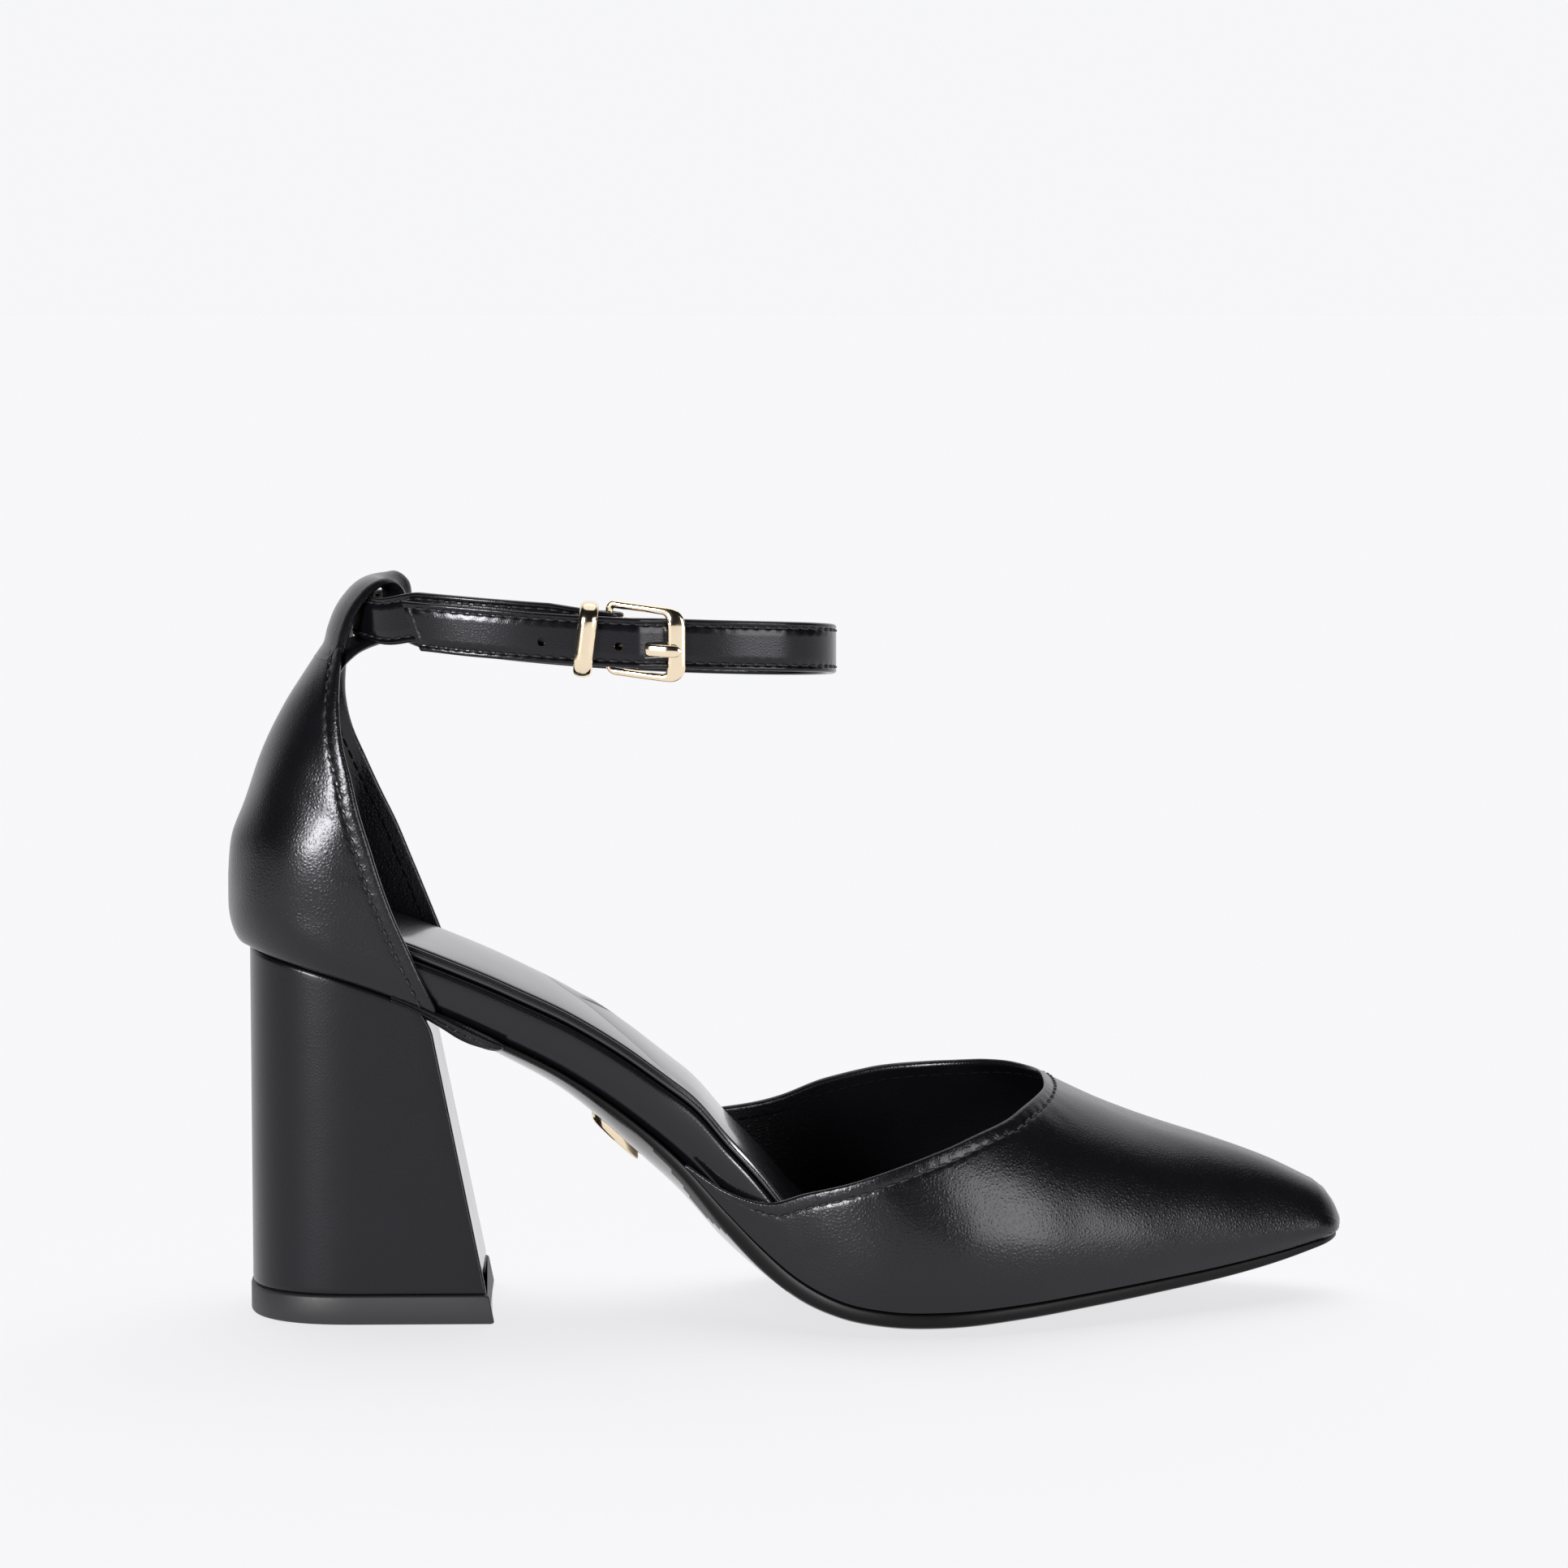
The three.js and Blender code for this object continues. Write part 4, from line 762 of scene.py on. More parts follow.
def padRelief(x, y):
    pad = padSizes
    beyond = y - tableValue(sheetEnd, "y", x, "x")
    fade = 1 - smoothStep(x, pad["fadeFrom"], pad["fadeTo"])
    sheet = -pad["step"] * smoothStep(beyond, -0.12, 0.2) + pad["edgeLift"] * bell(beyond, -0.45, 0.4)
    # Past the sheet's end the pad climbs to the inner side, and its roll starts from a groove
    second = y - tableValue(padLine, "y", x, "x")
    climb = pad["slope"] * pad["run"] * (1 - math.exp(-max(beyond, 0) / pad["run"]))
    roll = pad["roll"] * (1 - math.exp(-max(second, 0) / pad["rollRun"]))
    roll -= pad["groove"] * bell(second, 0, 0.3)
    climb *= smoothStep(x, pad["climbFrom"], pad["climbTo"])
    return (sheet + climb + roll * smoothStep(x, pad["rollFrom"], pad["rollTo"])) * fade


def buildBottom():
    size = bottomSizes
    rings = []
    for at in stationRow(boardBack(0), boardFront(0), size["heelRound"], size["toeRound"]):
        rise = boardRise(at)
        thin = min(rise / size["board"], 1)

        def bandPoint(sign, tuck, up):
            y = boardEdge(at, sign, 0, tuck)
            return Vector((xOf(at), y, bedZ(at, y) + up * rise))

        side = {}
        for sign in (-1, 1):
            side[sign] = [bandPoint(sign, size["tuck"] * tuck * thin, up) for up, tuck in bandSide]
        rings.append(side[-1] + side[1][::-1])
    loftPiece("insoleBand", rings, bandLeather, ["insole_board"], 70)

    rings = []
    inset = size["sockInset"]
    for at in stationRow(boardBack(inset), boardFront(inset), size["heelRound"], size["toeRound"],
                         size["sockStations"]):
        low = boardRise(at) + 2 * wall["seam"] - 0.2
        tall = sockSide[-1][0]

        def sockPoint(sign, up, tuck):
            y = boardEdge(at, sign, inset, tuck)
            return Vector((xOf(at), y, bedZ(at, y) + low + up))

        side = {sign: [sockPoint(sign, up, tuck) for up, tuck in sockSide] for sign in (-1, 1)}
        edges = {sign: boardEdge(at, sign, inset, sockSide[-1][1] + 0.05) for sign in (-1, 1)}
        top = []
        spread = edges[1] - edges[-1]
        if spread > 14:
            stops = sockStops(edges[-1], edges[1], xOf(at))
        else:
            stops = [mix(edges[-1], edges[1], k / 68) for k in range(1, 68)]
        for y in stops:
            share = (y - edges[-1]) / max(spread, 1e-6)
            crown = 4 * share * (1 - share)
            hollow = 0.6 * crown * smoothStep(xOf(at), 5, 30) + 0.2 * (1 - abs(2 * share - 1) ** 6)
            hollow += padRelief(xOf(at), y) * min(crown * 2, 1)
            top.append(Vector((xOf(at), y, bedZ(at, y) + low + tall + hollow)))
        rings.append(side[-1] + top + side[1][::-1])
    sock = loftPiece("sockLeather", rings, sockLeather, ["sock_lining"], 70)

    lean = size["breastLean"] * (featherZ(size["breastAt"], 0) - size["edge"])
    back = last["heelLength"] / 2 - lean + 2 * wall["seam"]
    front = xOf(1) + size["toeWelt"]
    rings = []
    shares = [k / 12 for k in range(-11, 12)]
    for at in stationRow(back, front, 0, last["noseRadius"] + 1):
        toeRound = roundEnd(front - xOf(at), last["noseRadius"] + 1)
        middle = (lastEdge(at, 1) + lastEdge(at, -1)) / 2
        margin = size["margin"] * tableValue(bottomTable, "margin", at)

        def across(share):
            sign = 1 if share > 0 else -1
            return middle + share * abs(lastEdge(at, sign) + sign * margin - middle) * toeRound

        def underZ(y, share):
            edge = size["edge"] * tableValue(bottomTable, "edge", at)
            belly = size["belly"] * tableValue(bottomTable, "belly", at)
            return max(bedZ(at, y) - wall["seam"] - edge - belly * (1 - abs(share) ** size["bellyPower"]), 0)

        def edgePoint(sign, down, share=1.0):
            y = across(sign * share)
            return Vector((xOf(at), y, mix(bedZ(at, y) - wall["seam"], underZ(y, share), down)))

        under = [Vector((xOf(at), across(share), underZ(across(share), share))) for share in shares]
        side = [(0, 0.988), (0.06, 0.996), (0.14, 1), (0.5, 1), (0.78, 0.998), (0.92, 0.99), (1, 0.972)]
        low = [edgePoint(-1, down, share) for down, share in side]
        high = [edgePoint(1, down, share) for down, share in side]
        rings.append(low + under + high[::-1])
    loftPiece("varnishedOutsole", rings, varnishedSole, ["outsole"], 50,
              (inkedEdge, lambda face: face.normal.z > -0.6))


# The quarter's margin is turned under the band and gathered: a leaf shape with lengthwise folds
turnedMargin = dict(thick=1.6, folds=2.6, foldDepth=0.3, foldTurn=0.22, out=0.5, under=0.45, roll=1.1,
                    taperFrom=20, taper=0.6, stations=60, around=36)
marginTable = table(
    "x top low", (6, 0.4, -1.4), (12, 0.5, -1.8), (15, 0.5, -2.4), (17.5, 0.5, -2.9), (20, 0.5, -3.5),
    (22.7, 0.4, -3.7), (25.4, 0.3, -3.4), (27.7, 0.2, -3.0), (29.4, 0, -2.3), (30.4, -0.3, -1.4))


def buildTurnedMargin():
    look = turnedMargin
    around, stations = look["around"], look["stations"]
    front = marginTable[-1]["x"]
    for side, name in ((-1, "turnedMarginOuter"), (1, "turnedMarginInner")):
        rings = []
        for i in range(stations + 1):
            x = mix(marginTable[0]["x"], front, i / stations)
            at = shareOf(x)
            top, low = (tableValue(marginTable, key, x, "x") for key in ("top", "low"))
            edge = boardEdge(at, side, 0, bottomSizes["tuck"] * look["under"])
            thick = look["thick"] / 2 * (1 - look["taper"] * smoothStep(x, look["taperFrom"], front))
            ring = []
            for j in range(around):
                turn = 2 * math.pi * j / around
                share = math.sin(turn)
                wave = math.sin(share * look["folds"] * math.pi + x * look["foldTurn"])
                fold = look["foldDepth"] * wave * max(math.cos(turn), 0)
                # The lower edge rolls in under the sole
                rolled = look["roll"] * max(-share, 0) ** 2
                y = edge + side * (look["out"] + math.cos(turn) * thick + fold - rolled)
                ring.append(Vector((x, y, bedZ(at, y) + mix(low, top, (share + 1) / 2))))
            rings.append(ring)
        faces = gridFaces(len(rings), around, wrapColumns=True)
        faces += [capRing(0, around), capRing(stations * around, around)]
        makePiece(name, allPoints(rings), faces, upperLeather)


buildBottom()
buildTurnedMargin()
print("bottom made")


# Heel block with its leather cover and the lift under it

heelSizes = dict(width=48.4, topWidth=45.6, backPower=2.5, backRound=25, corner=0.8, lift=6.3, liftMargin=0.4,
                 liftRound=0.5)
heelLook = dict(rows=60, forward=1.4, forwardFrom=8)  # the breast's outer edge shows as a narrow strip


def heelRing(back, front, half, level, forward=0):
    corner = min(heelSizes["corner"], half / 2)
    outline = []
    for k in range(1, 9):
        outline.append((front, (half - corner) * k / 9))
    for k in range(9):
        turn = math.pi / 2 * k / 8
        outline.append((front - corner * (1 - math.cos(turn)), half - corner * (1 - math.sin(turn))))
    near = min(heelSizes["backRound"], front - corner - back)
    flat = front - corner - (back + near)
    if flat > 0.5:
        outline += [(front - corner - flat * k / 5, half) for k in range(1, 5)]
    for k in range(33):
        left = 1 - math.sin(math.pi / 2 * k / 32)
        x = back + near * left
        outline.append((x, 0 if k == 32 else half * roundEnd(x - back, near, heelSizes["backPower"])))
    outer = []
    for x, y in outline:
        ahead = forward * smoothStep(x, front - heelLook["forwardFrom"], front) * (y / half) ** 2
        outer.append(Vector((x + ahead, -y, level(x))))
    inner = [Vector((x, y, level(x))) for x, y in reversed(outline[:-1])]
    return [Vector((front, 0, level(front)))] + outer + inner


def heelFaces(rings):
    count = len(rings[0])
    faces = gridFaces(len(rings), count, wrapColumns=True)
    for start in (0, (len(rings) - 1) * count):
        for i in range(1, count // 2):
            a, b, c, d = start + i, start + i + 1, start + count - i - 1, start + count - i
            faces.append((a, b, c, d) if b != c else (a, b, d))
        faces.append((start, start + 1, start + count - 1))
    return faces


def buildHeel():
    size = heelSizes
    foot = size["lift"] + wall["seam"]
    lean = bottomSizes["breastLean"]
    rings = []
    rows = heelLook["rows"]
    stops = [0, 0.002, 0.006, 0.012] + [0.02 + 0.968 * k / rows for k in range(rows + 1)] + [0.994, 1]
    for t in stops:
        shrink = 0.45 * (1 - roundEnd(t * 70, 0.9)) + 0.3 * (1 - roundEnd((1 - t) * 70, 0.8))
        half = mix(size["width"] / 2 - size["liftMargin"], size["topWidth"] / 2, t) - shrink

        def level(x):
            return mix(foot, heelTopZ(x), t)

        front = last["heelLength"] / 2
        for _ in range(8):
            front = last["heelLength"] / 2 - lean * level(front)
        forward = heelLook["forward"] * smoothStep(1 - t, 0, 0.08)
        back = -last["heelLength"] / 2 + size["liftMargin"] + shrink
        rings.append(heelRing(back, front - shrink, half, level, forward))
    # The breast carries the sole's own varnished leather, and shines at a low angle
    makePiece("heelCover", allPoints(rings), heelFaces(rings), heelLeather, ["heel_block"],
              60, (varnishedSole, lambda face: face.normal.x > 0.7))

    def liftRing(inset, z):
        front = last["heelLength"] / 2 - lean * z - inset + size["liftMargin"]
        return heelRing(-last["heelLength"] / 2 + inset, front, size["width"] / 2 - inset, lambda x: z,
                        heelLook["forward"])

    # How far in and how high each ring lies: a rounded foot, flat sides and an eased top
    edge, tall = size["liftRound"], size["lift"]
    stops = [(edge, 0), (edge * 0.55, 0.1), (edge * 0.2, 0.28), (0, edge), (0, tall * 0.5), (0, tall - 0.5),
             (0.08, tall - 0.2), (0.3, tall)]
    rings = [liftRing(inset, z) for inset, z in stops]
    makePiece("topLift", allPoints(rings), heelFaces(rings), buffedRubber, ["top_lift"], 60)


buildHeel()
print("heel made")


# Ankle strap: one band that folds round the buckle's bar, goes round the ankle and laps over itself

strapSizes = dict(width=10.8, thick=1.9, ringLength=104.9, ringWidth=58, power=2.6, heelPower=2.25,
                  back=counterBack + wall["loopAt"] * last["length"] + 7.4,
                  frontHeight=seatBack + quarterSizes["height"] - 1.9, rise=6.9, risePower=2.4, tilt=0.107,
                  tiltFrom=5, tiltTo=15, step=2, heelStep=0.72, squeeze=0.88, squeezeFrom=1, squeezeTo=11,
                  lapGap=0.35, tip=12.4, slant=-2.4, slantFrom=14, fold=13)
buckleSizes = dict(length=17, height=16.2, barX=54, shift=0.35, drop=0.35, bar=0.9, rail=0.85, frontBar=3.8,
                   corner=3, barCorner=1.2)
prongSizes = dict(width=2.75, thick=1.3, eye=1.1, drop=1.4, hole=5.4, clearance=0.35)
holeSizes = dict(radius=0.9, drop=0.9, count=4, pitch=8.15)
keeperSizes = dict(width=4.0, wall=1.3, round=2.8, lean=0.12, x=48.9, drop=0.2, lift=0.5, crown=0.7)


def ringPoint(turn, offset):
    size = strapSizes
    half, wide = size["ringLength"] / 2, size["ringWidth"] / 2
    cosine, sine = math.cos(turn), math.sin(turn)
    power = 2 / (size["heelPower"] if cosine > 0 else size["power"])
    x = size["back"] + half - half * signedPower(cosine, power)
    y = wide * signedPower(sine, power)
    normal = Vector((-signedPower(cosine, 2 - power) / half, signedPower(sine, 2 - power) / wide))
    normal.normalize()
    front = max(1 - (x - size["back"]) / size["ringLength"], 0)
    tilt = size["tilt"] * smoothStep(x - size["back"], size["tiltFrom"], size["tiltTo"])
    z = size["frontHeight"] + size["rise"] * front ** size["risePower"] - tilt * y
    return Vector((x + normal.x * offset, y + normal.y * offset, z))


def outerTurn(x):
    share = 1 - (x - strapSizes["back"]) / (strapSizes["ringLength"] / 2)
    power = strapSizes["heelPower"] if share > 0 else strapSizes["power"]
    return 2 * math.pi - math.acos(signedPower(share, power / 2))


def onStrap(x, offset, up):
    return ringPoint(outerTurn(x), offset) + Vector((0, 0, up))


lapOffset = strapSizes["thick"] + strapSizes["lapGap"]
barOffset = -(strapSizes["thick"] / 2 + buckleSizes["bar"] + wall["seam"])
foldOffset = 2 * barOffset
frontBarX = buckleSizes["barX"] + buckleSizes["length"] - buckleSizes["bar"] - buckleSizes["frontBar"] / 2
frontBarOffset = -barOffset
foldWidth = buckleSizes["height"] - 4 * buckleSizes["rail"] - 6 * wall["seam"]
prongHoleX = frontBarX - 4.2


def lapAt(x):
    return lapOffset * smoothStep(frontBarX - x, 2, 9)


def strapPath():
    size = strapSizes
    path = []
    barX = buckleSizes["barX"]
    foldEnd = barX - size["fold"]

    def place(middle, shift, width, layer):
        inLoop = 1 - smoothStep(middle.x - size["back"], size["squeezeFrom"], size["squeezeTo"])
        lifted = middle + Vector((0, 0, size["step"] * shift))
        path.append(dict(middle=lifted, width=width * mix(1, size["squeeze"], inLoop), layer=layer))

    for i in range(13):
        place(onStrap(mix(foldEnd, barX, i / 12), foldOffset, 0), buckleSizes["shift"], foldWidth, "fold")
    for i in range(1, 20):
        angle = math.pi * i / 20
        x = barX - barOffset * math.sin(angle)
        place(onStrap(x, barOffset * (1 + math.cos(angle)), 0), buckleSizes["shift"], foldWidth, "fold")
    for i in range(17):
        t = i / 16
        place(onStrap(mix(barX, foldEnd, t), 0, 0), mix(buckleSizes["shift"], 1, t),
              mix(foldWidth, size["width"], t), "under")
    for i in range(1, 61):
        turn = mix(outerTurn(foldEnd), 2 * math.pi, i / 60)
        place(ringPoint(turn, 0), mix(1, size["heelStep"], i / 60), size["width"], "under")
    tipTurn = outerTurn(size["tip"])
    for i in range(1, 601):
        turn = mix(0, tipTurn, i / 600)
        lap = lapAt(ringPoint(turn, 0).x) if turn > math.pi else 0
        shift = size["heelStep"] * (1 - smoothStep(turn, 0, math.pi))
        place(ringPoint(turn, lap), shift, size["width"], "over")
    return path


# The band's section: padded middle, a groove for each row of stitches and rounded edges.
# Each point is a share of the half width and of the half thickness.
strapHalf = [(0, 1.04), (0.2, 1.04), (0.4, 1.03), (0.62, 1.02), (0.7, 0.9), (0.745, 0.78), (0.79, 0.9),
             (0.86, 1.04), (0.92, 1.02), (0.965, 0.85), (1, 0.45)]
strapFace = [(-share, height) for share, height in strapHalf[:0:-1]] + strapHalf
strapBack = [(share, -min(height, 1.0) * (0.97 if abs(share) < 0.9 else 1))
             for share, height in reversed(strapFace)]
strapStitch = dict(pitch=2.75, length=2.2, radius=0.27, lift=0.12)
strapLook = dict(stitchAt=0.745, dimple=0.16, tipSeam=1.7, tipDepth=0.12)


def buildStrap():
    path = strapPath()
    final = len(path) - 1
    along = arcPoints([stop["middle"] for stop in path])
    rings, rows, tip = [], {(face, row): [] for face in (-1, 1) for row in (-1, 1)}, []
    for i, stop in enumerate(path):
        before, after = path[max(i - 1, 0)]["middle"], path[min(i + 1, final)]["middle"]
        ahead = Vector((after.x - before.x, after.y - before.y, 0)).normalized()
        side = Vector((ahead.y, -ahead.x, 0))
        left = along[-1] - along[i]
        hole = 0.5 + 0.5 * math.cos(2 * math.pi * along[i] / strapStitch["pitch"])

        def sectionPoint(share, height):
            if abs(abs(share) - strapLook["stitchAt"]) < 0.05:
                height *= 1 - strapLook["dimple"] * hole
            if abs(share) < strapLook["stitchAt"]:
                height *= 1 - strapLook["tipDepth"] * bell(left, strapLook["tipSeam"], 0.5)
            height *= 0.8 + 0.2 * roundEnd(left + 0.1, 0.4)
            point = stop["middle"] + side * height * strapSizes["thick"] / 2
            point.z += share * stop["width"] / 2
            slant = strapSizes["slant"] * share * (1 - smoothStep(left, 0, strapSizes["slantFrom"]))
            return point - ahead * slant

        rings.append([sectionPoint(share, height) for share, height in strapFace + strapBack])
        for face, row in rows:
            spot = sectionPoint(row * strapLook["stitchAt"], face * 0.78)
            rows[(face, row)].append((spot, side * face, along[i], stop["layer"], left))
        if not tip and left < strapLook["tipSeam"]:
            shares = [mix(-strapLook["stitchAt"], strapLook["stitchAt"], k / 12) for k in range(13)]
            tip = [(sectionPoint(s, -0.85), -side, (s + 1) * stop["width"] / 2) for s in shares]
    strap = loftPiece("ankleStrapLeather", rings, strapLeather, ["ankle_strap"], 50)
    cutters = []
    for i in range(1, holeSizes["count"]):
        x = prongHoleX - i * holeSizes["pitch"]
        spot = onStrap(x, lapAt(x), -holeSizes["drop"])
        cutters.append(("CYLINDER", spot, (holeSizes["radius"], strapSizes["thick"] + 0.3)))
    wide = prongSizes["width"] + 2 * prongSizes["clearance"]
    cutters.append(("BOX", onStrap(prongHoleX - 0.5, lapAt(prongHoleX), -prongSizes["drop"]),
                    (prongSizes["hole"], 2 * lapOffset, wide)))
    depth = strapSizes["thick"] / 2 + strapSizes["lapGap"] / 2 - barOffset * 2 + strapSizes["thick"]
    slot = onStrap(buckleSizes["barX"], strapSizes["thick"] / 2 + strapSizes["lapGap"] / 2 - depth / 2,
                   -prongSizes["drop"])
    cutters.append(("BOX", slot + Vector((-barOffset, 0, 0)), (-4 * barOffset, depth, wide)))
    for kind, spot, size in cutters:
        if kind == "BOX":
            bpy.ops.mesh.primitive_cube_add(size=1, location=spot * mm)
            tool = bpy.context.object
            tool.scale = Vector(size) * mm
        else:
            bpy.ops.mesh.primitive_cylinder_add(vertices=28, radius=size[0] * mm, depth=size[1] * mm,
                                                location=spot * mm, rotation=(math.pi / 2, 0, 0))
            tool = bpy.context.object
        cut = strap.modifiers.new("cut", "BOOLEAN")
        cut.operation = "DIFFERENCE"
        cut.object = tool
        bpy.context.view_layer.update()
        settle(strap)
        bpy.data.objects.remove(tool)
    strap.data.set_sharp_from_angle(angle=math.radians(50))
    for (face, row), spots in rows.items():
        for layer in ("under", "over"):
            kept = [s[:3] for s in spots if s[3] == layer and s[4] > strapLook["tipSeam"]]
            place = ("In" if face > 0 else "Out") + ("Top" if row > 0 else "Low")
            stitchRow("strapStitches" + place + layer.title(), kept, strapStitch)
    stitchRow("strapStitchesTip", tip, strapStitch)


buildStrap()
print("strap made")


# Buckle, prong, keeper and waist plate

def sweepRing(path, around, frameOf):
    rings = []
    for stop in path:
        middle, out, side, thick, wide, square = frameOf(stop)
        ring = []
        for j in range(around):
            turn = 2 * math.pi * j / around
            c, s = math.cos(turn), math.sin(turn)
            ring.append(middle + out * signedPower(c, square) * thick + side * signedPower(s, square) * wide)
        rings.append(ring)
    return rings


def roundFrame(length, height, lowRadius, highRadius, steps, straight=6):
    points = []

    def arc(cx, cy, radius, start):
        for i in range(steps + 1):
            angle = start + math.pi / 2 * i / steps
            points.append((cx + radius * math.cos(angle), cy + radius * math.sin(angle), angle))

    arc(length - highRadius, height / 2 - highRadius, highRadius, 0)
    arc(lowRadius, height / 2 - lowRadius, lowRadius, math.pi / 2)
    arc(lowRadius, lowRadius - height / 2, lowRadius, math.pi)
    arc(length - highRadius, highRadius - height / 2, highRadius, math.pi * 1.5)
    full = []
    for i, (x, y, angle) in enumerate(points):
        full.append((x, y, angle))
        nx, ny, nAngle = points[(i + 1) % len(points)]
        if math.hypot(nx - x, ny - y) > 1.2:
            full += [(mix(x, nx, k / straight), mix(y, ny, k / straight), angle) for k in range(1, straight)]
    return full


def warpOnStrap(points):
    return [onStrap(p.x, p.y, p.z) for p in points]


def buildBuckle():
    size = buckleSizes
    run = frontBarX - size["barX"]

    def buckleStop(stop):
        x, y, angle = stop
        share = x / run
        front = smoothStep(share, 0.8, 1)
        middle = Vector((size["barX"] + x, mix(barOffset, frontBarOffset, share),
                         y + mix(strapSizes["step"] * size["shift"], -size["drop"], share)))
        thick = mix(size["rail"], size["frontBar"] / 2, front)
        out = Vector((math.cos(angle), 0, math.sin(angle)))
        return middle, out, Vector((0, 1, 0)), thick, size["bar"], mix(0.8, 0.55, front)

    path = roundFrame(run, size["height"] - 2 * size["rail"], size["barCorner"], size["corner"], 10)
    rings = sweepRing(path, 16, buckleStop)
    makePiece("buckleFrame", warpOnStrap(allPoints(rings)), gridFaces(len(rings), 16, True, True), platedGold,
              ["buckle_frame"], 75)


def buildProng():
    size = prongSizes
    eye = size["eye"] + size["thick"]
    rest = frontBarOffset + buckleSizes["bar"] + wall["seam"]
    half = size["thick"] / 2
    barX = buckleSizes["barX"]
    route = []
    for k in range(18):
        angle = math.radians(mix(395, 60, k / 17))
        reach = size["eye"] + half
        route.append((barX + reach * math.cos(angle), barOffset + reach * math.sin(angle)))
    # Up from the eye, through the strap's hole and over the front bar
    tongue = [(barX + eye * 0.9, barOffset + eye * 0.3), (prongHoleX - 4.6, -0.6), (prongHoleX - 2.9, 0.7),
              (prongHoleX - 2, 2.3), (prongHoleX - 0.4, 3),
              (frontBarX - buckleSizes["frontBar"] / 2, rest + half), (frontBarX + half, rest + half)]
    smooth = []
    for a, b in zip(tongue, tongue[1:]):
        smooth += [(mix(a[0], b[0], k / 8), mix(a[1], b[1], k / 8)) for k in range(8)]
    smooth.append(tongue[-1])
    for _ in range(6):
        eased = [tuple(0.25 * a[c] + 0.5 * b[c] + 0.25 * d[c] for c in (0, 1))
                 for a, b, d in zip(smooth, smooth[1:], smooth[2:])]
        smooth = [smooth[0], *eased, smooth[-1]]
    for name, line, endRound in (("buckleProng", smooth, True), ("prongEye", route, False)):
        rings = []
        for i, (x, offset) in enumerate(line):
            ax, ao = line[max(i - 1, 0)]
            bx, bo = line[min(i + 1, len(line) - 1)]
            ahead = Vector((bx - ax, bo - ao, 0)).normalized()
            out = Vector((-ahead.y, ahead.x, 0))
            left = (len(line) - 1 - i) * 0.28
            tip = roundEnd(left + 0.08, 1.3) if endRound else 1
            ring = []
            for j in range(16):
                turn = 2 * math.pi * j / 16
                c, s = math.cos(turn), math.sin(turn)
                high = Vector((0, 0, 1)) * signedPower(s, 0.7) * size["width"] / 2 * tip
                wide = out * signedPower(c, 0.7) * half * mix(0.7, 1, tip)
                ring.append(Vector((x, offset, -size["drop"])) + wide + high)
            rings.append(warpOnStrap(ring))
        faces = gridFaces(len(rings), 16, wrapColumns=True)
        faces += [capRing(0, 16), capRing((len(rings) - 1) * 16, 16)]
        replaced = ["buckle_prong"] if endRound else []
        makePiece(name, allPoints(rings), faces, platedGold, replaced, 60)


def buildKeeper():
    size = keeperSizes
    inside = foldOffset - strapSizes["thick"] / 2 - 2 * wall["seam"]
    outside = lapOffset + strapSizes["thick"] / 2 + 2 * wall["seam"]
    low = -strapSizes["width"] / 2 - 2 * wall["seam"] - size["drop"]
    high = strapSizes["width"] / 2 + size["lift"] + 2 * wall["seam"] - size["drop"]
    grow = size["wall"] / 2

    def keeperStop(stop):
        x, y, angle = stop
        up = y + (high + low) / 2
        out = Vector((0, math.cos(angle), math.sin(angle)))
        middle = Vector((size["x"] + size["lean"] * up, inside - grow + x, up)) + out * size["crown"] / 2
        return middle, out, Vector((1, 0, 0)), (size["wall"] + size["crown"]) / 2, size["width"] / 2, 0.95

    path = roundFrame(outside - inside + 2 * grow, high - low + 2 * grow, size["round"], size["round"], 12)
    rings = sweepRing(path, 20, keeperStop)
    makePiece("strapKeeper", warpOnStrap(allPoints(rings)), gridFaces(len(rings), 20, True, True), platedGold,
              ["strap_keeper"], 75)


plateSizes = dict(length=13, width=7, thick=2.4, at=0.343, round=0.8)


def buildPlate():
    size = plateSizes

    def underZ(at, y):
        share = y / lastEdge(at, 1)
        edge = bottomSizes["edge"] * tableValue(bottomTable, "edge", at)
        belly = bottomSizes["belly"] * tableValue(bottomTable, "belly", at)
        return bedZ(at, y) - wall["seam"] - edge - belly * (1 - abs(share) ** bottomSizes["bellyPower"])

    def plateRing(inset, down):
        ring = []
        for i in range(48):
            angle = 2 * math.pi * (i + 0.5) / 48
            at = size["at"] + (size["length"] / 2 - inset) * math.cos(angle) * 0.8 / last["length"]
            y = (size["width"] / 2 - inset) * math.sin(angle)
            ring.append(Vector((xOf(at), y, underZ(at, y) - wall["seam"] - down)))
        return ring

    thick, curve = size["thick"], size["round"]
    rings = [plateRing(0, 0), plateRing(0, thick - curve)]
    turns = (0.4, 0.8, 1.2, 1.57)
    rings += [plateRing(curve * (1 - math.cos(a)), thick - curve * (1 - math.sin(a))) for a in turns]
    rings += [plateRing(curve + k * 0.5, thick + 0.02 * k) for k in (1, 2, 3)]
    loftPiece("waistPlate", rings, platedGold, ["waist_plate"], 60)


buildBuckle()
buildProng()
buildKeeper()
buildPlate()
print("metal made")


# Strap loop: a folded tab at the top of the quarter

loopSizes = dict(width=27, wall=1.5, bend=22.5, fold=0.12)
